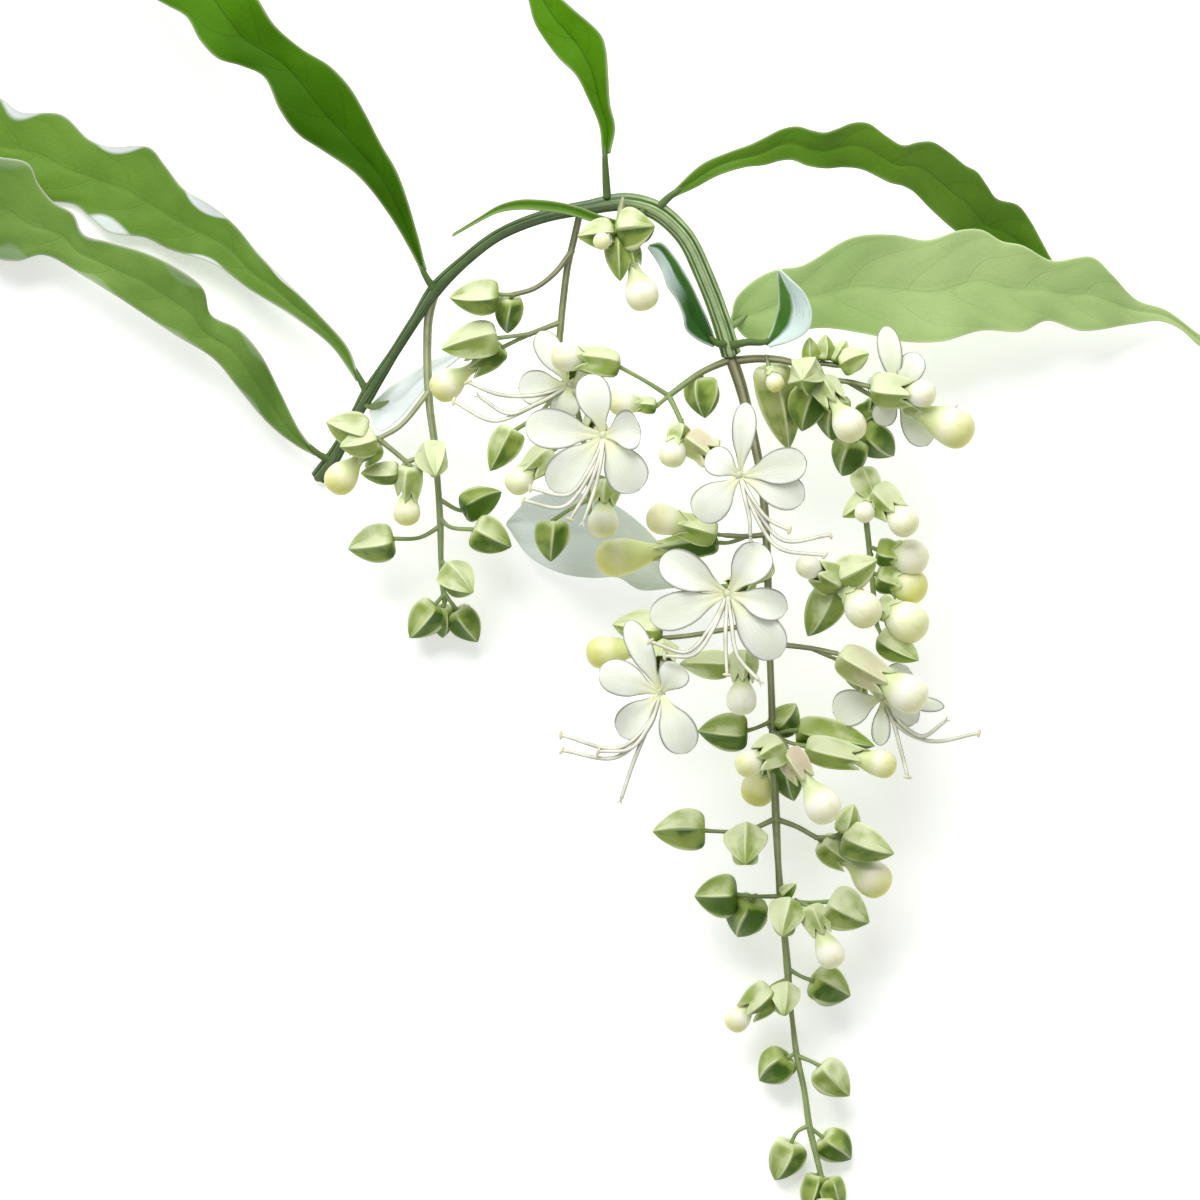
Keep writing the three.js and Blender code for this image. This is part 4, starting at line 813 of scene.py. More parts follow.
@dataclass(frozen=True)
class StalkFinish(Finish):
    """A stem, stalk or thread: its hollows and its ridges, changing from its root to its end.

    Where its tone is under a half it goes over to dusk. lines is how many fine pale lines run along
    it, and line_strength how strong they are.
    """

    mottle_scale: float = 260.0
    hollow: Colour = (0.3, 0.36, 0.2)
    ridge: Colour = (0.62, 0.64, 0.46)
    end: Colour = (0.5, 0.58, 0.34)
    end_share: float = 0.5
    dusk: Colour = (0.12, 0.26, 0.0)
    dusk_share: float = 0.76
    cloud_share: float = 0.25
    cloud_depth: float = 0.7
    pith: Colour = (0.86, 0.88, 0.72)
    lines: float = 7.0
    line_strength: float = 0.0
    line_edge: Span = (0.7, 0.95)
    wander_scale: float = 14.0

    def paint(self, skin: Skin) -> tuple[Output, Output]:
        """Hollow to ridge by the section, greener to the end, pale on a cut face, finely mottled."""
        tree = skin.tree
        along, _, tone = tree.values("growth")
        ridge, cut, _ = tree.values("marks")
        pale = tree.maths("MAXIMUM", ridge, self.fine_lines(tree))
        cloud = tuple(self.cloud_depth * value for value in self.hollow)
        colour = tree.layered(
            tree.blend(pale, self.hollow, self.ridge),
            (tree.times(along, self.end_share), self.end),
            (tree.times(tree.between(tone, PLAIN_TONE, 0.0), self.dusk_share), self.dusk),
            (tree.times(skin.tone, self.cloud_share), cloud),
            (cut, self.pith),
        )
        return colour, skin.grain

    def fine_lines(self, tree: Tree) -> Output:
        """Thin lines at even angles round the section, which come and go along the stem."""
        cosine, sine, along = tree.values("veins")
        angle = tree.maths("ARCTAN2", sine, cosine)
        wander = {"W": along, "Scale": self.wander_scale}
        drift = tree.add("ShaderNodeTexNoise", wander, noise_dimensions="1D").outputs[0]
        turn = tree.maths("MULTIPLY_ADD", angle, self.lines / 2, drift)
        line = tree.between(tree.maths("ABSOLUTE", tree.maths("SINE", turn)), *self.line_edge)
        return tree.times(line, self.line_strength)


DEEP_LEAF = LeafFinish(
    "deep green leaf", roughness=0.6, shine=0.08,
    shade=(0.2, 0.37, 0.0), light=(0.33, 0.54, 0.03), vein=(0.13, 0.27, 0.0), margin=(0.62, 0.68, 0.48),
    crest_sheen=0.0, vein_strength=0.4,
)
# Painted highlights in arcs where its waved margins turn up.
MID_LEAF = LeafFinish(
    "mid green leaf", roughness=0.55, shine=0.2,
    shade=(0.29, 0.42, 0.12), light=(0.44, 0.6, 0.21), vein=(0.27, 0.4, 0.12), margin=(0.76, 0.77, 0.7),
    painted_sheen=(0.88, 0.91, 0.9), crest_sheen=1.0, vein_strength=0.2,
)
GREY_GREEN_LEAF = replace(
    MID_LEAF, name="greyer green leaf", shade=(0.27, 0.41, 0.11), light=(0.46, 0.6, 0.26), crest_sheen=0.12,
    cloudiness=0.5,
)
BRIGHT_LEAF = LeafFinish(
    "bright green leaf", roughness=0.55, shine=0.15,
    shade=(0.26, 0.43, 0.05), light=(0.42, 0.58, 0.15), vein=(0.22, 0.4, 0.06), margin=(0.6, 0.68, 0.45),
    crest_sheen=0.0, vein_strength=0.35,
)
YOUNG_LEAF = LeafFinish(
    "pale young leaf", roughness=0.6, shine=0.2,
    shade=(0.59, 0.71, 0.41), light=(0.74, 0.83, 0.56), vein=(0.53, 0.66, 0.36), margin=(0.84, 0.9, 0.68),
    crest_sheen=0.0, vein_strength=0.25,
)
# A streaked stretch of painted sheen across the blade, and painted highlights on the margin crests.
SHINING_LEAF = LeafFinish(
    "shining small leaf", roughness=0.35, coat=0.1, shine=0.3,
    shade=(0.15, 0.36, 0.07), light=(0.36, 0.56, 0.2), vein=(0.1, 0.28, 0.05), margin=(0.85, 0.9, 0.85),
    painted_sheen=(0.86, 0.93, 0.91), crest_sheen=0.2, sheen_band=(-0.3, 1.3), sheen_strength=0.95,
    vein_strength=0.4, cloudiness=0.6,
)
LANCE_LEAF = replace(
    SHINING_LEAF, name="shining lance leaf", sheen_band=(-1.2, 0.35), sheen_along=(0.4, 0.75),
    sheen_strength=0.9,
)
# Pale all over, partly its own pale underside and partly painted sheen, with more painted sheen in streaks
# and on the margin crests.
PALE_SHEEN_LEAF = LeafFinish(
    "pale leaf with painted sheen", roughness=0.45, coat=0.05, shine=0.4,
    shade=(0.85, 0.9, 0.86), light=(0.93, 0.96, 0.95), vein=(0.78, 0.84, 0.8), margin=(0.92, 0.94, 0.92),
    painted_sheen=(0.93, 0.96, 0.97), crest_sheen=0.8, sheen_band=(-0.8, 1.6), sheen_strength=0.85,
    vein_strength=0.3, cloudiness=0.7,
)
# On leaf stalks the ridge colour is painted light on the upper side and the hollow colour painted shade
# below.
LEAF_STALK = StalkFinish(
    "leaf stalk", roughness=0.45, shine=0.3, hollow=(0.24, 0.36, 0.12), ridge=(0.52, 0.58, 0.38),
    end=(0.28, 0.42, 0.1), line_strength=0.3,
)
PALE_LEAF_STALK = replace(
    LEAF_STALK, name="pale leaf stalk", hollow=(0.48, 0.58, 0.34), ridge=(0.68, 0.76, 0.52),
    end=(0.62, 0.72, 0.46),
)
# Pale ridges and dark hollows: partly the stem's own ridged skin, partly painted highlight and painted
# shade.
STEM_SKIN = StalkFinish(
    "ridged stem skin", roughness=0.4, shine=0.35,
    hollow=(0.2, 0.36, 0.06), ridge=(0.83, 0.9, 0.69), end=(0.52, 0.64, 0.36), end_share=0.2, lines=9.0,
    line_strength=0.85,
)
RACEME_STALK = StalkFinish(
    "raceme stalk skin", roughness=0.45, shine=0.3,
    hollow=(0.34, 0.34, 0.23), ridge=(0.7, 0.68, 0.56), end=(0.62, 0.72, 0.44), end_share=0.8, lines=4.0,
    line_strength=0.5,
)
PALE_RACEME_STALK = replace(
    RACEME_STALK, name="pale raceme stalk", hollow=(0.47, 0.48, 0.36), ridge=(0.78, 0.78, 0.66),
)
CALYX_SKIN = CalyxFinish("calyx skin", shine=0.35, glow=0.06, glow_depth=0.6)
BUD_SKIN = BudFinish("bud skin", roughness=0.42, shine=0.4, glow=0.35, glow_depth=2.0)
PETAL_SKIN = PetalFinish(
    "petal skin", roughness=0.6, shine=0.25, glow=0.35, glow_depth=0.6, glow_radius=(1.0, 1.0, 1.0),
)
TUBE_SKIN = PetalFinish(
    "flower tube skin", roughness=0.55, shine=0.25, glow=0.2,
    white=(0.93, 0.94, 0.82), cloud=(0.88, 0.9, 0.74), throat=(0.9, 0.92, 0.72),
)
# On threads the ridge colour is painted light where they face up and the hollow colour painted shade on
# their sides.
THREAD_SKIN = StalkFinish(
    "stamen thread skin",
    hollow=(0.4, 0.4, 0.28), ridge=(0.98, 0.98, 0.9), end=(0.95, 0.95, 0.84), end_share=0.15,
)
ANTHER_SKIN = StalkFinish(
    "anther skin", roughness=0.7, hollow=(0.7, 0.7, 0.48), ridge=(0.93, 0.92, 0.78), end=(0.88, 0.87, 0.7),
)


@dataclass(frozen=True)
class LeafShape:
    """A leaf as laid out: its stalk, its two edges seen from above and its heights along the middle.

    tilt raises the second edge and lowers the first, keel raises both, and ripple is the height of
    the waves along the edges, all for each millimetre of half width but ripple.
    """

    stalk: Route
    first: Outline
    second: Outline
    heights: Row
    tilt: float
    keel: float
    waves: float
    ripple: float


@dataclass(frozen=True)
class Pod:
    """A closed calyx: its stalk, the point of its tip and its width.

    blush is how flushed it is, from 0 to 1, and pale how much paler it is than others in its place.
    """

    stalk: Route
    tip: Point
    wide: float
    blush: float = 0.0
    pale: float = 0.0


@dataclass(frozen=True)
class Bud:
    """An open calyx with a bud: its stalk, the middle of the ball, and the sizes of both.

    ripe_and_shaded is how much further than others in its place it is drawn to the olive colour, and
    long how many times longer than in a round bud the part behind the ball's middle is.
    """

    stalk: Route
    ball: Point
    size: float
    calyx: float = 6.4
    wide: float = 6.2
    blush: float = 0.0
    ripe_and_shaded: float = 0.0
    long: float = 1.0


@dataclass(frozen=True)
class FlowerShape:
    """An open flower as laid out: its tube, and from its throat each petal's reach, with its width.

    threads are the stamens, also from its throat, and last the style.
    """

    tube: Route
    petals: tuple[Row, ...]
    threads: tuple[Route, ...]


@dataclass(frozen=True)
class Socket:
    """An open calyx that holds the tube of a flower."""

    stalk: Route
    flower: FlowerShape
    calyx: float = 6.4
    wide: float = 6.2
    blush: float = 0.0


@dataclass(frozen=True)
class RacemeShape:
    """A raceme as laid out: its axis with radii, its side branches and what they carry."""

    axis: tuple[Row, ...]
    branches: tuple[Route, ...] = ()
    pods: tuple[Pod, ...] = ()
    buds: tuple[Bud, ...] = ()
    sockets: tuple[Socket, ...] = ()


STEM = (
    (-56.4, 24.4, 1.1, 1.6), (-53.6, 28, 3.4, 1.6), (-50.6, 33, 7, 1.25), (-48, 38, 10.6, 1.25),
    (-46.2, 41, 13, 1.5), (-41, 49, 18.4, 1.05), (-36.4, 56, 23.4, 1.1), (-32.6, 61.6, 27.4, 1.5),
    (-27, 67, 30.6, 1.2), (-20, 72.2, 33.6, 1.2), (-11, 75.8, 36, 1.3), (-2, 77.6, 37.2, 1.5),
    (5, 78.6, 37.6, 1.9), (11, 77, 37.2, 2), (16.6, 72, 35.6, 1.9), (20.4, 64.6, 33.4, 1.9),
    (23.4, 57, 31, 1.9), (26, 48.6, 29, 2),
)
LEAF_A = LeafShape(
    stalk=((-32.9, 61.8, 28), (-34.2, 63.6, 28.6), (-36.4, 68, 29.6)),
    first=(
        (-35.4, 65), (-38, 70), (-42, 76.6), (-48, 84), (-55, 89), (-60, 92.4), (-63.4, 97), (-66.6, 103.6),
        (-71, 105.8), (-75.6, 107.2), (-79.2, 110.8), (-82, 115.6), (-86, 118), (-90.4, 120.6), (-96, 126),
        (-100, 133), (-106, 140), (-111, 148), (-117.6, 156),
    ),
    second=(
        (-34.4, 65.4), (-36, 72), (-40, 84.4), (-43.4, 90.4), (-46.6, 96.6), (-49.6, 101.6), (-53.6, 105.8),
        (-58.8, 109), (-64.4, 113.8), (-68.4, 120), (-74, 125.6), (-80, 129), (-87, 134.6), (-95, 139),
        (-102, 147), (-110, 152), (-117, 156.8),
    ),
    heights=(29, 31, 31, 28, 22, 14, 6), tilt=0.1, keel=0.16, waves=6, ripple=0.9,
)
LEAF_B = LeafShape(
    stalk=((-46.4, 41.4, 13.2), (-47.6, 43.6, 13.4), (-50, 48, 13)),
    first=(
        (-48, 44), (-50, 50), (-56, 57), (-62, 63), (-68, 69), (-73, 75), (-78, 79), (-83, 82), (-87, 87),
        (-90, 90.4), (-98, 90.6), (-102, 92), (-107.6, 97), (-116, 97.6), (-120, 100.4), (-127, 101),
        (-133, 104), (-141, 104), (-149, 105.4), (-156.6, 104.6),
    ),
    second=(
        (-48.6, 43.6), (-53.6, 50.6), (-62, 57), (-70, 62), (-77, 67), (-86, 70), (-91, 72.4), (-98, 73.4),
        (-102, 76.6), (-105, 79), (-112, 80), (-119, 83), (-127, 85), (-134, 90), (-142, 93), (-150, 99),
        (-156.8, 103.8),
    ),
    heights=(13.4, 10.5, 5.6, 2.4, 1.5, 0.9, 0.3), tilt=-0.1, keel=0.06, waves=6, ripple=0.7,
)
LEAF_C = LeafShape(
    stalk=((-53.8, 28, 3.6), (-56, 29, 4.4), (-60, 32.6, 6)),
    first=(
        (-56.6, 29.4), (-60, 34), (-64, 42), (-67.6, 49), (-72, 54), (-77.6, 57), (-79, 62), (-84, 66),
        (-90, 69), (-98, 71.4), (-103, 73), (-105, 77), (-109, 79.4), (-112, 83), (-114, 87), (-120, 88.4),
        (-127, 90), (-133, 87.6), (-140, 87), (-147, 84), (-157.4, 82.2),
    ),
    second=(
        (-57, 28.8), (-60, 30.4), (-66, 35), (-72, 42), (-77, 48), (-85, 53), (-94, 59), (-102, 64),
        (-111, 68.8), (-116, 67.6), (-120, 68), (-126, 71), (-133, 71), (-140, 76), (-148, 77),
        (-157.4, 81.4),
    ),
    heights=(4.6, 8.4, 10.6, 9.6, 7, 3.6, 0.4), tilt=-0.1, keel=0.08, waves=6, ripple=0.8,
)
LEAF_D = LeafShape(
    stalk=((1.4, 79.4, 38), (1.2, 83, 39), (1, 87, 39.6), (1, 92, 39.6)),
    first=(
        (0.4, 88), (-0.2, 93.6), (-2.6, 99.4), (-4.8, 103.6), (-8.2, 107), (-11, 110.8), (-13, 114.2),
        (-14.6, 120), (-17, 126), (-20, 130), (-25, 138.6),
    ),
    second=(
        (2, 88.2), (3, 93.2), (2, 97.8), (1.6, 103.6), (1.2, 108.6), (0.2, 111.6), (-5.6, 117), (-8.6, 120),
        (-12, 125), (-16, 129), (-20.6, 134), (-24.6, 139),
    ),
    heights=(39.6, 39, 36, 31, 25), tilt=0.25, keel=0.2, waves=3.5, ripple=0.6,
)
LEAF_E = LeafShape(
    stalk=((11.6, 77.6, 37.6), (14.2, 80, 38), (18.4, 82.6, 38)),
    first=(
        (13.4, 79.8), (20, 86), (25.3, 88.4), (29.8, 90), (33, 91.6), (36, 93.1), (39, 93.6), (42, 92.8),
        (44.4, 92.4), (47, 93.2), (50, 94.4), (53, 94.4), (56.6, 92), (60, 90.1), (63.2, 90.8), (66, 90.9),
        (69.3, 89), (72.7, 86.4), (75, 85.2), (77, 82.6), (79, 80), (83.3, 78.8), (85.7, 76), (88, 72),
        (90, 68.4), (93, 64), (97, 58.6),
    ),
    second=(
        (14, 79.2), (18.8, 81.4), (23.4, 83.8), (28.6, 85.4), (32.6, 85.9), (35.4, 86.7), (38, 86.9),
        (41, 85.8), (44.6, 85.3), (48, 85.6), (51.8, 85.2), (57.6, 82.6), (60, 82.1), (62.2, 81), (65.3, 78),
        (68.7, 75), (71, 73.2), (76, 69), (83, 67), (88, 62.6), (96.6, 58),
    ),
    heights=(38, 38, 34.6, 27, 14.6, 4.6, 0.3), tilt=-0.1, keel=0.12, waves=6, ripple=0.7,
)
LEAF_F = LeafShape(
    stalk=((24.8, 53, 29.4), (26.4, 54.4, 26.4), (29.6, 57, 23.6)),
    first=(
        (26, 56), (27, 60), (31, 63.8), (35, 65.6), (40, 66.4), (50, 72), (58, 72.6), (65, 71.6), (72, 73.6),
        (76, 73.6), (80, 71.4), (84, 70.6), (90, 67.6), (98, 68.4), (102, 65), (107, 60), (113, 58),
        (120, 53), (128.6, 48),
    ),
    second=(
        (26.8, 54.6), (29, 52), (33, 51.4), (38, 53), (44, 54), (52, 53), (60, 51.4), (68, 51.4), (76, 53.6),
        (84, 53.4), (89, 55.6), (96, 53.6), (106, 55), (112, 55.6), (116, 54), (120, 50.6), (128.4, 47.2),
    ),
    heights=(24.6, 21, 18, 15, 11, 4.6, 0.3), tilt=-0.08, keel=0.08, waves=7, ripple=0.7,
)
LEAF_G = LeafShape(
    stalk=((8.6, 77.2, 38.4), (7.6, 75.2, 39.6), (4.6, 73.4, 40), (1, 74.4, 40.6)),
    first=(
        (4.6, 74.6), (0, 76), (-4, 77.5), (-8, 78.5), (-12, 79), (-16, 79), (-20, 77.9), (-24, 75.5),
        (-29, 72.4),
    ),
    second=(
        (4.4, 73.4), (-1.6, 74.6), (-5, 75.7), (-8, 76.4), (-12, 76.8), (-16, 77), (-20, 76.4), (-24, 74.6),
        (-29.2, 71.8),
    ),
    heights=(40.2, 41, 40.6, 40, 38.6), tilt=0.1, keel=0.2, waves=2, ripple=0.15,
)
LEAF_H = LeafShape(
    stalk=((25.4, 50.8, 30.2), (23.2, 50.8, 32.2), (21, 53, 33.2)),
    first=(
        (22.4, 50), (19.6, 51.2), (17, 53.4), (16.4, 56), (15.2, 59), (13.2, 62), (12.2, 65), (9.4, 69.6),
    ),
    second=((23, 51.2), (22, 54), (20.2, 58), (17.4, 63.6), (14.6, 68), (12, 70.6), (9.8, 70.2)),
    heights=(31.6, 34.4, 37, 38.4, 38.6), tilt=-0.1, keel=0.5, waves=3, ripple=0.4,
)
LEAF_I = LeafShape(
    stalk=((26.2, 50.4, 31), (29.2, 51, 32.6), (32.4, 51, 32.6), (35, 52.4, 32.9)),
    first=((32.6, 50.6), (34.2, 54), (35.2, 58), (35.2, 62), (35, 65)),
    second=((33.6, 50), (38, 51.2), (41.2, 53.4), (41.8, 57), (40.4, 60.6), (37.8, 63.2), (35.6, 65.2)),
    heights=(32.4, 33.4, 34.6, 36, 37), tilt=0.45, keel=0.2, waves=2, ripple=0.4,
)
LEAF_J = LeafShape(
    stalk=((-47, 39.4, 12), (-45.4, 38.6, 11.4), (-42, 39.6, 10.6)),
    first=((-45, 39.6), (-42, 42.6), (-38, 45), (-34.4, 47.4), (-30, 49.2), (-25.6, 51)),
    second=((-46, 37.6), (-44, 33.6), (-40, 36), (-36.6, 40), (-33, 44), (-29, 47.4), (-25.4, 50.4)),
    heights=(11, 10, 9.4, 9, 9), tilt=0.3, keel=0.1, waves=2, ripple=0.3,
)
LEAF_K = LeafShape(
    stalk=((32.6, 4.4, 25.6), (26, 2.6, 20), (19, 2.8, 15), (13, 4, 11.4)),
    first=((15, 2.4), (8, 2), (3.6, 4.4), (-2, 4.4), (-8, 5.4), (-14, 8.6), (-18.8, 15)),
    second=((15.4, 4), (12, 11), (6, 17), (0, 20.4), (-8, 21.6), (-14, 20.4), (-18.4, 16)),
    heights=(13, 10, 7, 4.6, 3.4), tilt=0.08, keel=0.08, waves=3, ripple=0.5,
)
FLOWER_0 = FlowerShape(
    tube=((-3.6, 44.4, 28.6), (-4.6, 43.4, 31.2), (-6, 42.4, 33)),
    petals=((-6, 10.6, -0.8, 5.4), (-10, -0.6, 0.6, 7), (-1.4, -6, 0, 6), (7, -4, -1, 6), (5.6, 2.2, -1, 6)),
    threads=(
        ((-7, -2, 4), (-14, -1.8, 4.4), (-20, 0.6, 3.6)), ((-7, -4, 4), (-15, -7, 4.4), (-22.8, -3.2, 3.4)),
        ((-6, -3.4, 4.6), (-12, -5.6, 5), (-17.6, -2.4, 4.4)),
    ),
)
FLOWER_1 = FlowerShape(
    tube=((-1.2, 34.2, 30.4), (0, 33.2, 37), (0.8, 32.4, 43)),
    petals=(
        (-3.2, 12, 1, 7), (-15.4, 2, 0.6, 8), (-10.6, -10.4, 0.4, 8), (6.6, -10.8, 0, 8.4), (7, 1.6, 1.4, 8),
    ),
    threads=(
        ((-2.6, -6, 3.6), (-7, -11.6, 4.4), (-14.4, -10.4, 4.6)),
        ((-2.4, -7, 3.8), (-8, -14, 4.6), (-15.8, -12.8, 4.8)),
        ((-1.4, -6, 3.8), (-3.4, -11, 4.6), (-6.6, -16.4, 5)),
        ((-0.8, -6, 3.6), (-2, -11, 4.2), (-4, -16.8, 4.6)),
    ),
)
FLOWER_2 = FlowerShape(
    tube=((18.6, 31, 37.2), (24.4, 27, 39.6), (27.6, 24.4, 43)),
    petals=(
        (1.2, 14.4, 1, 4.8), (13, 3, 1, 7.2), (12.6, -4.4, 0, 7.2), (-8.6, -8, 0.4, 7.6),
        (-6.4, 4.4, -1.6, 6),
    ),
    threads=(
        ((2.6, -5.6, 3.4), (8.4, -12.6, 4), (17.6, -11.6, 4.6)),
        ((2.2, -6, 3.6), (7.4, -14, 4.2), (16.6, -15.6, 4.8)),
        ((2.6, -4.8, 3.8), (5.4, -8.4, 4.6), (9.6, -10.6, 5)),
        ((1, -4.6, 3.4), (1.8, -8.2, 4), (2, -11.8, 4.2)),
    ),
)
FLOWER_3 = FlowerShape(
    tube=((28.2, 3.2, 32.2), (26.2, 2, 39), (25.2, 1.2, 45)),
    petals=(
        (-13.2, 7, 0.8, 7.6), (-15.2, -5, 0.6, 7.4), (7.2, 9.4, 1, 7.8), (11.6, -3, 0.4, 6.4),
        (10.2, -12.2, 0, 8.4),
    ),
    threads=(
        ((-3.4, -6.4, 3.6), (-8, -11.4, 4), (-15.2, -9.4, 4.6)),
        ((-3, -7, 3.8), (-6.8, -12, 4.2), (-12.4, -12.2, 4.8)),
        ((-0.4, -5, 3.8), (-0.5, -10, 4.4), (-0.2, -15.8, 4.6)),
        ((0.6, -5, 3.6), (1.8, -12, 4.2), (6, -17, 4.6)),
    ),
)
FLOWER_4 = FlowerShape(
    tube=((12.7, -11.4, 32.4), (12.3, -15, 39), (12, -18.4, 45)),
    petals=(
        (-6.4, 14.2, 1, 5), (-12, 4.6, 0.4, 7), (-8, -8.2, 0.2, 7), (5.2, -11.6, 0.4, 7.4),
        (3.8, 5.6, 2, 6.4),
    ),
    threads=(
        ((-2.6, -6, 3.4), (-8.4, -10.8, 4), (-19.6, -8.2, 4.6)),
        ((-2.6, -7, 3.4), (-9, -12.6, 4), (-19.4, -11.2, 4.4)),
        ((-2.2, -6, 3.8), (-6, -10.8, 4.6), (-12.2, -11.4, 5)),
        ((-2.6, -6.6, 3.2), (-5.6, -14, 3.6), (-7.8, -20.6, 3.6)),
    ),
)
FLOWER_5 = FlowerShape(
    tube=((50.6, -13.8, 20.6), (53.6, -17, 21.4), (56, -19.4, 23)),
    petals=(
        (-9.6, -3, 0, 7.4), (-0.4, -9.4, 0.4, 3.8), (7, -4.6, 0.4, 5), (12.2, -1.8, 0.4, 3), (5, 6, -1, 6),
    ),
    threads=(
        ((3.4, -5.8, 1.6), (9.6, -8.6, 2.4), (19, -7, 3)), ((2.2, -5, 1.4), (3.6, -10, 1.8), (5, -15.6, 2)),
        ((3.8, -5.2, 2.2), (8, -7.6, 3), (12.2, -4.8, 3.6)),
    ),
)
FLOWER_6 = FlowerShape(
    tube=((53.1, 36.9, 21.1), (56, 38.8, 24), (59, 40.6, 26.6)),
    petals=((-2.4, 13.6, 0, 4.8), (4, 8.2, 0, 5.4), (6, -9.8, 0, 6), (-5.6, 3, 0.2, 5), (-4, -5.6, 0.4, 5)),
    threads=(((4, -2, 0.6), (8, -3.4, 0.4), (11, -2.6, 0)),),
)
RACEME_LEFT = RacemeShape(
    axis=(
        (-32.8, 60.8, 26.6, 1), (-34, 56, 23.4, 0.9), (-34.3, 50, 21.4, 0.85), (-34.2, 44, 20.4, 0.85),
        (-33.8, 38, 19, 0.8), (-33, 32, 17.6, 0.75), (-32.6, 27, 16.3, 0.7), (-32.2, 22, 14.8, 0.65),
        (-31.8, 15, 12.6, 0.7), (-31.7, 8, 10, 0.55), (-31.4, 3, 7.6, 0.6), (-31, -0.4, 6, 0.5),
    ),
    branches=(
        ((-34, 41.5, 20), (-39.6, 34.6, 22), (-44, 32, 22.5)),
        ((-44, 32, 22.5), (-41, 29.6, 21), (-38.4, 27.4, 20)),
        ((-33, 31, 17.4), (-36, 28.4, 19), (-38.4, 27.4, 20)),
    ),
    pods=(
        Pod(((-33, 32, 17.6), (-33.4, 30, 19.4)), (-32.6, 24.6, 25.5), 6),
        Pod(((-44, 32, 22.5), (-46.6, 33.4, 23.4)), (-54.4, 35.4, 25), 6.6),
        Pod(((-44, 32, 22.5), (-45, 31.8, 24)), (-51.6, 30.4, 26.4), 5.6),
        Pod(((-38.4, 27.4, 20), (-40.2, 25.6, 19.5)), (-47.6, 25.2, 18.8), 4.6),
        Pod(((-32, 14.6, 12.4), (-36, 12.4, 13), (-41.4, 12.2, 12.6)), (-50.2, 10.2, 12), 7),
        Pod(((-32, 16.6, 13.2), (-30, 14.6, 14), (-25, 14, 13.4)), (-17.6, 10.6, 13), 7),
        Pod(((-31.9, 20, 14.2), (-28.4, 18, 11), (-27, 17.8, 10)), (-19.6, 21.6, 8.4), 6.2),
        Pod(((-31.7, 8, 10), (-30, 5.6, 11)), (-25.4, 1.4, 16.5), 6.6, pale=-0.2),
        Pod(((-31.2, 1, 6.8), (-33, -1, 6.4)), (-38, -7.6, 5.4), 6.4),
        Pod(((-31, -0.4, 6), (-31.4, -1.4, 5.8)), (-31.4, -7.6, 3.4), 5),
        Pod(((-31.2, 1.6, 7), (-28.6, -2, 6)), (-24.4, -8.4, 4.4), 5.6),
    ),
    buds=(
        Bud(((-44, 32, 22.5), (-44.6, 31.6, 22.2)), (-51.4, 24.2, 20.5), 6.4, calyx=5.4, ripe_and_shaded=0.5),
        Bud(((-38.4, 27.4, 20), (-37.6, 26.6, 20)), (-38.4, 17.6, 18), 5.4, ripe_and_shaded=0.35),
    ),
)
RACEME_CENTRE = RacemeShape(
    axis=(
        (-4.2, 75.6, 34.6, 0.7), (-5, 72, 33.4, 0.7), (-6.4, 66, 32, 0.7), (-7.2, 60, 31, 0.7),
        (-7.8, 54, 29.6, 0.7), (-8, 50.4, 28.6, 0.65), (-6.6, 44, 26.6, 0.6), (-4.4, 37, 25, 0.6),
        (-3, 30, 23.6, 0.55), (-2.2, 23, 22, 0.5), (-2, 17, 20.5, 0.45),
    ),
    branches=(
        ((-5.6, 69, 32.7), (-9, 64.6, 33.6), (-13, 61.6, 34), (-17, 60.4, 34)),
        ((-7.9, 55, 29.8), (-11, 53.8, 29.6), (-14, 52.6, 30.4)),
    ),
    pods=(
        Pod(((-17, 60.4, 34), (-20.2, 60.4, 34)), (-29.8, 59.8, 34), 6.4),
        Pod(((-17, 60.4, 34), (-17.6, 59.8, 32.6)), (-18.4, 52.8, 28.4), 5),
        Pod(((-14, 52.6, 30.4), (-20.6, 51.8, 31.6)), (-31.4, 49.6, 32), 7),
        Pod(((-6.6, 44, 26.6), (-12, 37, 25), (-17, 33.6, 24)), (-21.8, 25.6, 24), 5.8),
        Pod(((-2.2, 20, 21.3), (-6, 18, 21), (-9.6, 15.6, 20.4)), (-9.8, 7.6, 20), 6.4),
    ),
    buds=(
        Bud(((-14, 52.6, 30.4), (-19.4, 50, 29.4)), (-30.4, 42.6, 27), 6.4, calyx=8),
        Bud(((-4, 35, 24.6), (-7.6, 31, 26), (-9.6, 29.4, 28)), (-16, 23.6, 29), 5.4, ripe_and_shaded=0.2),
        Bud(((-2.2, 24, 22.2), (0, 24.4, 23.6), (1.6, 23.6, 24.6)), (0.6, 15.4, 26.6), 6, calyx=5),
    ),
    sockets=(
        Socket(((-7.8, 51, 28.7), (-4.6, 47, 27.6), (-3.4, 44.6, 27.4)), FLOWER_0, calyx=4.6),
        Socket(((-4, 35, 24.6), (-2.4, 34.6, 27), (-1.4, 34.4, 28.4)), FLOWER_1),
    ),
)
CYME_LEFT = RacemeShape(
    axis=((25.4, 47.4, 28.6, 0.8), (20, 45, 32, 0.65), (13.6, 40.4, 34, 0.6)),
    branches=(((13.6, 40.4, 34), (14.8, 38, 35), (16, 35.4, 36)),),
    pods=(Pod(((20, 45, 32), (20.2, 43.6, 29.6)), (20.8, 36, 31), 6.4),),
    buds=(
        Bud(((13.6, 40.4, 34), (8.4, 43.6, 35.5), (3.6, 46.2, 36.6)), (-6.6, 48, 38.4), 5.8, calyx=9),
        Bud(((13.6, 40.4, 34), (11, 38.2, 35)), (4.4, 39, 36), 5.2, calyx=4, wide=3.6),
        Bud(((16, 35.4, 36), (15.8, 34.6, 36.6)), (14.4, 29, 38), 5.4, calyx=4.6, wide=5),
    ),
    sockets=(Socket(((16, 35.4, 36), (17.4, 32, 36.4)), FLOWER_2, blush=0.6),),
)
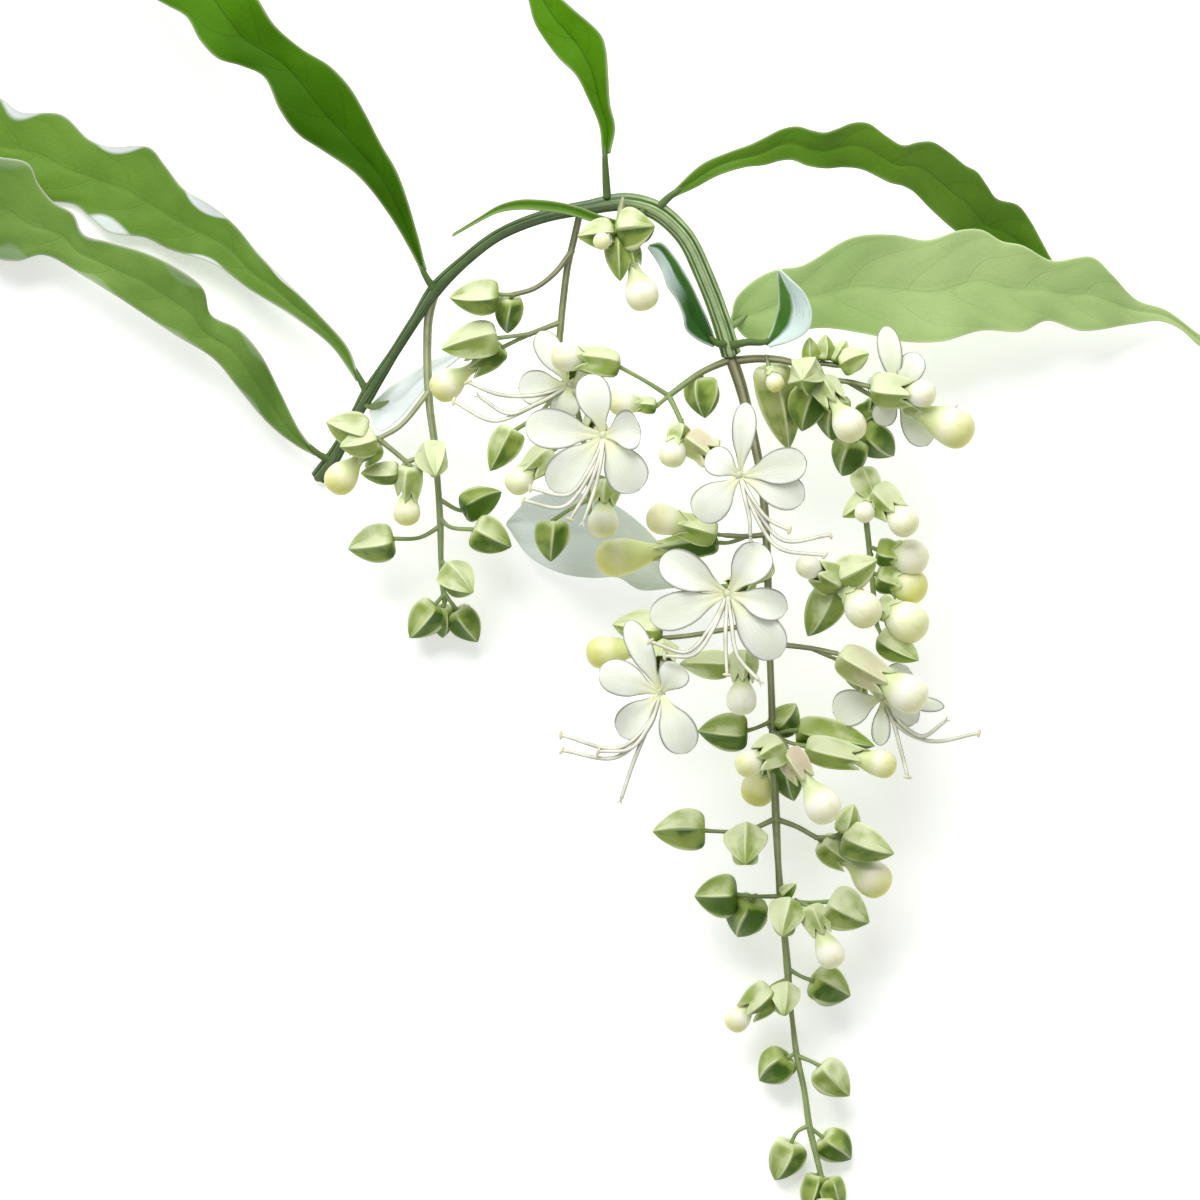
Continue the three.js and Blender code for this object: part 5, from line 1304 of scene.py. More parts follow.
CYME_APEX = RacemeShape(
    axis=((4.4, 78.6, 38.8, 0.7), (4, 76.4, 42, 0.6), (3.4, 72.8, 44.6, 0.6)),
    pods=(
        Pod(((3.4, 72.8, 44.6), (2, 72.2, 44.6)), (-4.4, 71.6, 47.6), 5.8),
        Pod(((3.4, 72.8, 44.6), (4.4, 72.8, 44.4)), (10.8, 73.6, 47.4), 7),
        Pod(((3.4, 72.8, 44.6), (3.4, 71, 44)), (4, 62.8, 45.4), 5),
    ),
    buds=(
        Bud(((3.4, 72.8, 44.6), (2, 71.4, 46)), (0.4, 70.6, 49.1), 3.4, calyx=2.4, wide=2.6),
        Bud(((3.4, 72.8, 44.6), (5.2, 70, 43.6)), (8.2, 60.4, 44), 6.6, calyx=4.6, wide=4.8, ripe_and_shaded=-0.25),
    ),
)
RACEME_RIGHT = RacemeShape(
    axis=(
        (27, 47.4, 28.4, 0.9), (32, 47.8, 29.8, 0.8), (38, 47, 31.4, 0.7), (44, 43.6, 30.4, 0.7),
        (48, 38, 28.6, 0.65), (50.4, 31, 27, 0.65), (51.6, 24, 26, 0.6), (53, 14, 25, 0.6),
        (54, 4, 23, 0.55), (55, -5, 22, 0.5),
    ),
    branches=(
        ((44, 43.6, 30.4), (49, 43.2, 32), (53.4, 42.2, 33)),
        ((53.6, 9, 24), (50.6, 5.6, 27.5), (47.6, 3.4, 30)),
        ((40, 46.2, 31.2), (43.4, 46.8, 32), (47, 46.4, 32)),
    ),
    pods=(
        Pod(((40, 46.2, 31.2), (41, 45, 33.5)), (39.8, 43.4, 40.5), 7),
        Pod(((42, 45, 30.8), (42, 42, 29.6)), (40, 33.4, 28), 7),
        Pod(((46, 40.8, 29.4), (46.6, 39.8, 29)), (46, 31.6, 26), 7),
        Pod(((33, 48, 30.6), (33.6, 46, 28)), (37.4, 29.8, 24), 8, blush=0.2, pale=0.5),
        Pod(((42, 46.6, 31.6), (42, 47.4, 32)), (41.4, 52, 33.4), 3.6),
        Pod(((43.6, 46.8, 32), (44.2, 47.6, 32)), (44.6, 52.6, 32.6), 3.6),
        Pod(((46, 46.6, 32), (46.6, 47, 31.6)), (48.8, 51.4, 31.6), 3.8),
        Pod(((47, 46.4, 32), (48, 46.2, 32.6)), (53.2, 48.8, 34), 4.8),
        Pod(((50.4, 31, 27), (50.4, 31.6, 26.6)), (48, 24.6, 23.6), 7),
        Pod(((49.6, 34, 27.6), (52.2, 33.6, 24.4)), (58.4, 28.6, 20.6), 6.4),
        Pod(((51.4, 26, 26.2), (51.8, 25.4, 27)), (54.8, 19.2, 30), 5.2),
        Pod(((52, 21, 25.6), (53.2, 20.6, 27)), (48, 16.4, 29.4), 4.6),
        Pod(((47.6, 3.4, 30), (48, 4.4, 31)), (54.8, 8, 34), 6.4),
        Pod(((47.6, 3.4, 30), (46.4, 2.2, 27.6)), (41.2, -7.2, 24.6), 7),
        Pod(((55, -5, 22), (56, -7.4, 23.6)), (63.2, -12, 27), 5.6),
    ),
    buds=(
        Bud(((43, 44.8, 30.8), (43.4, 43.4, 33)), (49.2, 34.6, 38), 6.6),
        Bud(((53.4, 42.2, 33), (54, 42, 33)), (63.6, 40.8, 35), 5.4, calyx=8.4, wide=7.4),
        Bud(
            ((49, 43.2, 32), (56, 39.4, 30.6), (60.6, 38.6, 31)), (70, 34, 33), 7.8, calyx=4, wide=4,
            ripe_and_shaded=0.35, long=1.35,
        ),
        Bud(((33, 48, 30.6), (33.4, 46, 31.4)), (34.6, 43, 32.6), 3.6, calyx=2, wide=2.4),
        Bud(((52, 21, 25.6), (53.4, 20, 28.6)), (52.4, 17.4, 31.6), 4, calyx=2.4, wide=3),
        Bud(((51.8, 22.6, 25.8), (54.4, 21.6, 27.4)), (60, 15.6, 30.4), 6, calyx=7.4, wide=7.6),
        Bud(((53.4, 10.6, 24.5), (55, 10, 24.4)), (61.6, 8.6, 24.4), 7, ripe_and_shaded=-0.2),
        Bud(((53.8, 5.6, 23.3), (55, 5, 23)), (61.4, 2.8, 22.4), 7, ripe_and_shaded=0.3),
        Bud(((47.6, 3.4, 30), (46.8, 3.6, 31)), (41.2, 6.6, 35.4), 4.8, calyx=7, wide=7),
        Bud(((47.6, 3.4, 30), (48.2, 2.6, 30.6)), (52, -1.8, 33.6), 7.2, calyx=3.4, wide=4.6),
        Bud(((54.4, 0, 22.6), (55.6, -0.6, 23.6)), (61, -4.4, 26.4), 8, calyx=4.4, wide=5.6),
    ),
    sockets=(Socket(((50, 32.6, 27.3), (50.4, 34.6, 22.6), (52.4, 36.4, 20.4)), FLOWER_6, calyx=5),),
)
RACEME_MAIN = RacemeShape(
    axis=(
        (26.6, 46.2, 28.4, 1.3), (28, 42, 27.8, 1.2), (30, 34, 27.2, 1), (32, 24, 26.6, 0.85),
        (33, 12, 26, 0.8), (33.4, 0, 25, 0.75), (33.6, -8, 24, 0.7), (34, -18, 22.4, 0.7),
        (34.3, -26, 21, 0.8), (34.7, -36, 19, 0.75), (35, -43.6, 17.4, 0.85), (35.5, -53, 15, 0.65),
        (36, -59.4, 13.2, 0.85), (36.8, -67, 10.8, 0.7), (37.4, -73.6, 8.8, 0.8), (37.8, -79, 7.6, 0.6),
        (38.4, -84, 6.6, 0.5), (39.2, -90.4, 5.6, 0.65), (40.8, -98, 4.8, 0.6), (41.8, -105, 4.2, 0.7),
        (43.2, -111, 3.8, 0.6), (44.6, -117, 3.4, 0.55), (45, -119.6, 3.2, 0.5),
    ),
    branches=(
        ((33, 13, 26), (29, 12.6, 28), (25, 12.8, 28.6)),
        ((33.5, -4, 24.5), (26, -5.6, 27), (18, -7, 28), (12, -7.6, 28.4)),
        ((33.5, -7.4, 24.1), (30, -10.4, 28), (27, -12, 30)),
        ((33.7, -8.6, 23.9), (42, -9.6, 27.5), (47, -10.6, 29)),
        ((34.3, -26, 21), (36, -28, 26), (36.8, -29, 30)),
        ((35, -43.4, 17.4), (31.6, -45, 18.6), (28.6, -46.2, 19.4)),
        ((35.1, -43.6, 17.4), (39, -45, 18.4), (43, -47.2, 19.4)),
    ),
    pods=(
        Pod(((32.4, 9, 25.8), (32.2, 8, 28)), (30.8, 3.4, 33), 4.6),
        Pod(((27, -12, 30), (25.4, -13, 30.6)), (15.8, -12.6, 31), 5.2),
        Pod(((12, -7.6, 28.4), (12, -6, 28.6)), (2.4, -4.8, 27), 6.4),
        Pod(((34.2, -24, 21.4), (31, -25.4, 22), (29, -26, 22.4)), (19.4, -26, 22), 7, pale=-0.15),
        Pod(((34.3, -26, 21), (35, -26, 20)), (39, -20.6, 17.6), 5.6),
        Pod(((34.3, -26.6, 20.9), (37, -26, 22), (39.6, -25.8, 22.6)), (54.6, -29, 21), 6.4),
        Pod(((34.5, -30, 20.2), (36, -30.8, 19.6)), (38.6, -40, 16), 6.4),
        Pod(((28.6, -46.2, 19.4), (24, -46, 19.6), (20.6, -45.8, 19.6)), (10.4, -46, 19.4), 7.6, pale=-0.1),
        Pod(((28.6, -46.2, 19.4), (29, -46.4, 20.2)), (28.8, -52.4, 26.6), 7.4, pale=-0.15),
        Pod(((43, -47.2, 19.4), (48.6, -47, 20.6)), (58.4, -50.4, 21.6), 7, pale=-0.15),
        Pod(((46, -47.2, 20.2), (48.4, -46, 21)), (50.4, -40.4, 23), 4.2),
        Pod(((35.9, -59, 13.3), (31, -59, 13), (27, -58.6, 13)), (18.8, -59, 12.4), 8, pale=-0.2),
        Pod(((31, -59, 13), (30.4, -60, 12)), (27.4, -67.2, 8.4), 7.6, pale=-0.2),
        Pod(((36, -59.6, 13.2), (41, -60.2, 14.6), (45.8, -60, 15.4)), (53.6, -64.2, 16), 8),
        Pod(((36, -59.4, 13.2), (37, -60.8, 15.6)), (36.2, -66.8, 20.6), 6.8, pale=-0.15),
        Pod(((36, -59.2, 13.3), (36.6, -58.8, 14.6)), (39, -56.4, 16.4), 2.8),
        Pod(((37.4, -73.4, 8.8), (40, -75, 8.4), (42.6, -76, 8)), (50, -79, 6), 7),
        Pod(((37.6, -76, 8.2), (37, -77.4, 9.4)), (36.6, -82.8, 13.6), 5.6, pale=0.1),
        Pod(((39.2, -90.4, 5.6), (37.4, -91.4, 5.4)), (31.8, -96, 3.4), 6.8),
        Pod(((39.4, -91, 5.6), (42, -92, 6.6), (44, -93, 7)), (49.8, -99, 6.6), 6.4, pale=0.2),
        Pod(((41.6, -105, 4.2), (39.4, -106.2, 4.2), (38.2, -108.4, 3.3)), (35, -116, 1.6), 7, pale=0.25),
        Pod(((42, -105.4, 4.2), (44.6, -107.4, 3)), (50.2, -111.8, 1.6), 6.4),
        Pod(((44, -114.4, 3.6), (43.4, -115, 2.6)), (41.6, -122.6, 1.4), 5),
        Pod(((44.4, -116, 3.5), (45.6, -115.8, 2.6)), (48.2, -122.6, 1.4), 5),
        Pod(((44.9, -119, 3.3), (45, -119.6, 3.2)), (45, -125, 3.2), 4),
    ),
    buds=(
        Bud(((25, 12.8, 28.6), (22.8, 13, 29)), (12.4, 16, 31), 6.2, calyx=8, ripe_and_shaded=0.4, long=1.3),
        Bud(
            ((29, 12.6, 28), (25.6, 11.4, 26), (23, 11.4, 25)), (3.2, 8.4, 19.6), 7.6, calyx=12, wide=5.8,
            ripe_and_shaded=0.35, long=1.6,
        ),
        Bud(((30, -10.4, 28), (28.4, -10.4, 30)), (28, -19.6, 33), 6, ripe_and_shaded=-0.2),
        Bud(
            ((12, -7.6, 28.4), (11, -9, 28)), (0.6, -10.4, 27.6), 6.4, calyx=5.6, wide=5, ripe_and_shaded=0.75,
            long=1.5,
        ),
        Bud(((36.8, -29, 30), (36.2, -29.2, 30.4)), (29.4, -32.4, 32.4), 5.2, wide=7.4, ripe_and_shaded=0.3),
        Bud(((36.8, -29, 30), (37.2, -29.8, 30.4)), (44, -40.6, 31.6), 7.2, calyx=7, blush=0.65),
        Bud(
            ((34.4, -27, 20.8), (38, -28.4, 23.6), (41, -29, 25)), (56, -32.6, 25.6), 5.4, calyx=12,
            wide=6.4, ripe_and_shaded=0.3, long=1.6,
        ),
        Bud(((34.5, -29.6, 20.2), (34.4, -30.6, 18.6)), (31.6, -37.4, 14.6), 7, calyx=5, wide=5.4, ripe_and_shaded=0.5),
        Bud(((43, -47.2, 19.4), (44, -48, 18.6)), (54.2, -55.4, 16.4), 7.4, calyx=7.4, wide=6.6, ripe_and_shaded=0.35),
        Bud(((39, -59.9, 14.1), (41.6, -61, 16)), (45.8, -70.4, 17.4), 5.6, calyx=6.4, wide=5.8, long=1.3),
        Bud(
            ((37.5, -75.6, 8.4), (34.6, -76.8, 9.6), (34, -77.4, 10)), (27.4, -83.6, 10), 5, calyx=7.4,
            wide=7.4,
        ),
        Bud(
            ((47, -10.6, 29), (47.6, -10.9, 29.2)), (61, -18.6, 31), 7.6, calyx=11, wide=7.4, blush=0.4,
            long=1.2,
        ),
    ),
    sockets=(
        Socket(((33.1, 5, 25.4), (31, 4, 28.5), (28.8, 3.4, 30.2)), FLOWER_3),
        Socket(((12, -7.6, 28.4), (12.8, -9.6, 30.4)), FLOWER_4),
        Socket(((42, -9.6, 27.5), (46, -11.4, 22.4), (49.4, -12.8, 20)), FLOWER_5),
    ),
)


@dataclass(frozen=True)
class MainStem:
    """The four-ridged main stem, from its cut end over the arch to the last pair of leaves."""

    node: str = "main_stem"
    slot: Slot = Slot.STEM
    rows: int = 190
    columns: int = 64
    ridges: int = 4
    hollow: float = 0.7
    sharp: float = 2.0
    paleness: float = 0.8
    cut_rings: Row = (0.25, 0.6, 0.9)
    brighter: Span = (0.62, 0.82)

    def build(self, shelf: Shelf) -> bpy.types.Object:
        """Carries the ridged section along the route and closes the cut end with a pale face."""
        route = np.asarray(STEM)
        angles = round_angles(self.columns)
        section = ridged(angles, self.ridges, self.hollow, self.sharp)
        rings, poles = tube(route[:, :3], tuple(route[:, 3]), self.rows, section, angles)
        middle = rings[0].mean(axis=0)
        face = np.stack([middle + share * (rings[0] - middle) for share in self.cut_rings])
        rings = np.concatenate((face, rings))
        none = np.zeros((len(face), 1))
        along = np.concatenate((none, level_steps(self.rows)))
        cut = np.concatenate((none + 1.0, np.zeros((self.rows, 1))))
        # Pale ridge crests: partly the stem's own skin, partly a painted highlight.
        ridge = self.paleness * np.clip((section - self.hollow) / (1.0 - self.hollow), 0.0, 1.0) ** 4
        growth = (along, 0.0, PLAIN_TONE * smooth_step(*self.brighter, along))
        tissue = Tissue()
        tissue.add(rings, poles, 0, growth, (ridge, cut, 0.0), turned(angles, len(rings)))
        return tissue.piece(self.node, shelf, STEM_SKIN)


@dataclass(frozen=True)
class Leaf:
    """One leaf: a thin waved blade with a sunk midrib above and a rib below, and its stalk.

    The waves along its two edges begin at wave_starts. They are lower where half the blade is
    narrower than calm_width, and rise and fall along the blade in beats.
    """

    node: str
    shape: LeafShape
    finish: LeafFinish
    stalk_finish: StalkFinish = LEAF_STALK
    slot: Slot = Slot.LEAF
    tone: float = 0.0
    tone_rise: float = 0.4
    tone_lean: float = 0.0
    tone_ends: float = 0.0
    rows: int = 170
    columns: int = 29
    thick: float = 0.42
    edge_thick: float = 0.14
    groove: float = 0.16
    rib: float = 0.5
    rib_width: float = 0.55
    rib_end: float = 0.3
    wave_starts: Span = (0.9, 2.6)
    calm_width: float = 4.0
    beats: float = 1.7
    beat_depth: float = 0.25
    beat_lean: float = 2.0
    fold_rounding: float = 0.02
    vein_gap: float = 12.0
    vein_sweep: Span = (0.7, 1.5)
    vein_stagger: float = 0.35
    quilting: float = 0.14
    margin_width: float = 0.3
    stalk_rows: int = 26
    stalk_columns: int = 14
    stalk_radii: Row = (0.85, 0.75, 0.6, 0.3)
    stalk_sink: float = 0.75
    stalk_painted_light: float = 0.4

    def middle_sheet(self) -> tuple[Array, Array, Array]:
        """The sheet halfway through the blade.

        A point at share v across lies between the two edges at the same share of their lengths. Its
        height is the middle's, plus tilt v and keel |v| times the half width, plus the waves times
        v squared. Between two side veins the blade swells up by the quilting.

        Returns:
            The points by row and place across, the shares across, and the waves there.
        """
        shape = self.shape
        u, v = level_steps(self.rows), across_steps(self.columns)
        first, second = (evenly_along(edge, self.rows)[:, None] for edge in (shape.first, shape.second))
        half = np.linalg.norm(second - first, axis=2) / 2
        line = np.stack((np.arange(len(shape.heights)), shape.heights), axis=1)
        height = along_curve(line, u[:, 0])[:, 1:]
        flat = first + (second - first) * ((v + 1) / 2)[:, None]
        wave = np.sin(2 * np.pi * shape.waves * u + np.where(v < 0, *self.wave_starts))
        beat = np.sin(2 * np.pi * self.beats * u + self.beat_lean * v)
        calm = np.minimum(1.0, half / self.calm_width) * (1 - self.beat_depth + self.beat_depth * beat)
        lift = (shape.tilt * v + shape.keel * np.hypot(v, self.fold_rounding)) * half
        swell = self.quilting * np.cos(2 * np.pi * self.phase(flat, half, v)) * (1 - v**2) * calm
        z = height + lift + shape.ripple * wave * v**2 * calm - swell
        return np.concatenate((flat, z[..., None]), axis=-1), v, wave * calm

    def phase(self, flat: Array, half: Array, v: Array) -> Array:
        """How many side veins have been passed: length along the middle less the veins' forward sweep.

        Args:
            flat: The blade's points seen from above, by row and place across.
            half: Half the blade's width in each row.
            v: The shares across, from -1 to 1.

        Returns:
            A count for each point, a whole number on a vein.
        """
        run = run_of(flat[:, flat.shape[1] // 2])
        straight, curved = self.vein_sweep
        sweep = half * (straight * np.abs(v) + curved * np.abs(v) ** 3)
        return (run[:, None] - sweep) / self.vein_gap + self.vein_stagger * (v > 0)

    def add_blade(self, tissue: Tissue) -> None:
        """Thickens the sheet along its normals, thinner to the edges, and closes it as rings."""
        sheet, v, wave = self.middle_sheet()
        half = np.linalg.norm(sheet[:, -1] - sheet[:, 0], axis=1)[:, None] / 2
        distance = v * half
        body = (self.thick * np.sqrt(np.clip(1 - v**8, 0, 1)) + self.edge_thick) / 2
        hump = np.exp(-((distance / self.rib_width) ** 2))
        fading = np.linspace(1.0, self.rib_end, self.rows)[:, None]
        rings = thickened(sheet, body - self.groove * hump, body + self.rib * hump * fading)
        along = level_steps(self.rows)
        rim = np.exp(-((((1 - np.abs(v)) * half) / self.margin_width) ** 2))
        ends = self.tone_ends * (2 * along - 1) ** 2
        tone = self.tone + self.tone_rise * (along - 0.5) + self.tone_lean * v - ends
        phase = self.phase(sheet[..., :2], half, v)
        across, tone, rim, wave, phase, distance = (
            both_faces(values, self.rows) for values in (v, tone, rim, wave, phase, distance)
        )
        face = np.repeat((1.0, -1.0), self.columns)
        triples = ((along, across, tone), (0.0, rim, wave), (phase, distance, face))
        tissue.add(rings, ring_ends(rings), 0, *triples)

    def add_stalk(self, tissue: Tissue) -> None:
        """Carries a round section along the stalk into the blade's midrib."""
        route = np.array(self.shape.stalk, dtype=float)
        route[-1, 2] -= self.stalk_sink
        rings, poles = round_tube(route, self.stalk_radii, self.stalk_rows, self.stalk_columns)
        angles = round_angles(self.stalk_columns)
        # Painted light along the stalk's upper side, fading to painted shade below.
        ridge = self.stalk_painted_light * (0.5 + 0.5 * np.cos(angles))
        growth = (level_steps(self.stalk_rows), 0.0, PLAIN_TONE)
        tissue.add(rings, poles, 1, growth, (ridge, 0.0, 0.0), turned(angles, self.stalk_rows))

    def build(self, shelf: Shelf) -> bpy.types.Object:
        """Builds the blade and the stalk as one piece."""
        tissue = Tissue()
        self.add_blade(tissue)
        self.add_stalk(tissue)
        return tissue.piece(self.node, shelf, self.finish, self.stalk_finish)


CALYX_SIDES = 5
HALF_FOLDS = (0.0, 0.07, 0.2, 0.38, 0.58, 0.8)
SIDE_FOLDS = np.array((*HALF_FOLDS, 1.0, *HALF_FOLDS[:0:-1]))  # 0 on a keel, 1 between two keels
FLAT_FALL = 1 - np.cos(np.pi / CALYX_SIDES)  # how far a flat side falls in between two keels


def calyx_columns() -> tuple[Array, Array]:
    """Angles round a calyx, close together by its keels, and for each how far it is from a keel."""
    turn = 2 * np.pi / CALYX_SIDES
    offset = np.where(np.arange(len(SIDE_FOLDS)) <= len(HALF_FOLDS), SIDE_FOLDS, 2 - SIDE_FOLDS) * turn / 2
    angles = (np.arange(CALYX_SIDES)[:, None] * turn + offset[None]).ravel()
    return angles, np.tile(SIDE_FOLDS, CALYX_SIDES)


def angled(folds: Array, depth: Array) -> Array:
    """A five-angled section: 1 on the keels and less by depth halfway between; flat at FLAT_FALL."""
    fall = 1 - np.cos(np.pi / CALYX_SIDES) / np.cos((1 - folds) * np.pi / CALYX_SIDES)
    return 1 - depth * fall / FLAT_FALL


def by_side(draw: Draws) -> Array:
    """One random number for each side of a calyx, given to all of that side's columns."""
    return draw.normal(size=CALYX_SIDES).repeat(len(SIDE_FOLDS))


def some_turn(draw: Draws) -> float:
    """A turn round the way of up to 0.6 of the step between two keels, to either side."""
    return draw.uniform(-0.6, 0.6) * np.pi / CALYX_SIDES


@dataclass(frozen=True)
class CalyxForm:
    """The forms of closed and open calyces, as shares of a calyx's length and width.

    Depths are how far the sides fall in at the base, in the middle and at the tip, and an edge from
    which share of the length to which something sets in.
    """

    pod: Outline = (
        (0.05, 0.07), (-0.015, 0.2), (-0.02, 0.37), (0.04, 0.5), (0.17, 0.58), (0.32, 0.59),
        (0.5, 0.54), (0.68, 0.42), (0.83, 0.27), (0.93, 0.13), (0.995, 0.02),
    )
    cup: Outline = (
        (0.05, 0.07), (-0.01, 0.2), (0.0, 0.33), (0.1, 0.45), (0.3, 0.525), (0.5, 0.52), (0.7, 0.47),
        (1.0, 0.36),
    )
    pod_rows: int = 22
    cup_rows: int = 15
    inner_rows: int = 6
    pod_depths: Row = (0.1, 0.3, 0.17)
    cup_depths: Row = (0.08, 0.25, 0.15)
    middle_edge: Span = (0.02, 0.3)
    pod_tip_edge: Span = (0.8, 1.0)
    cup_tip_edge: Span = (0.7, 1.0)
    foot: float = 0.06
    keel_width: float = 0.16
    keel_edge: Span = (0.0, 0.2)
    seam_edge: Span = (0.55, 0.8)
    seam_start: float = 0.8
    seam_depth: float = 0.05
    seam_green: float = 0.8
    unevenness: float = 0.05
    twist: float = 0.12
    lean: float = 0.05
    notch: float = 0.7
    lobe_length: float = 2.2
    lobe_rounding: float = 1.4
    lobe_onset: float = 1.5
    flare: float = 0.1
    flare_change: float = 0.07
    flare_edge: Span = (0.6, 1.0)
    wall: float = 0.24
    clearance: float = 0.08
    lip_fall: float = 0.02
    lip_edge: Span = (0.86, 1.0)
    inner_end: float = 0.45
    floor: float = 0.5
    floor_fall: float = 0.6

    def depth(self, share: Array, depths: Row, tip_edge: Span) -> Array:
        """How far the sides fall in at each share of the length."""
        base, middle, tip = depths
        deeper = (middle - base) * smooth_step(*self.middle_edge, share)
        return base + deeper + (tip - middle) * smooth_step(*tip_edge, share)

    def keel(self, folds: Array, share: Array) -> Array:
        """The pale line of each keel, which sets in above the base."""
        return np.clip(1 - folds / self.keel_width, 0, 1) * smooth_step(*self.keel_edge, share)


@dataclass(frozen=True)
class BallForm:
    """The form of a bud's ball, as shares of its size: its outline past its middle, and its creases."""

    outline: Outline = (
        (-0.75, 0.19), (-0.58, 0.255), (-0.4, 0.365), (-0.2, 0.465), (0.02, 0.505), (0.22, 0.475),
        (0.38, 0.385), (0.475, 0.25), (0.52, 0.1), (0.53, 0.02),
    )
    rows: int = 22
    columns: int = 30
    end: float = 0.53
    behind: float = 0.9
    held: float = 0.3
    neck: float = 0.17
    neck_in_calyx: float = 0.24
    winding: float = 0.55
    crease_width: float = 0.12
    crease_depth: float = 0.035
    crease_edge: Span = (-0.25, 0.3)
    # Painted shade draws a bud behind the axis towards the olive colour; painted light pales its side facing
    # the light.
    behind_shade_level: float = 0.45
    behind_shade: float = 0.6
    ripe_change: float = 0.1
    painted_light_share: float = 0.3

    def half_widths(self, bud: Bud) -> tuple[Array, Array]:
        """Distances past the middle of a bud's ball, from its neck to its end, and half widths there."""
        past, half = np.asarray(self.outline).T * bud.size
        return np.where(past < 0, past * bud.long, past), half


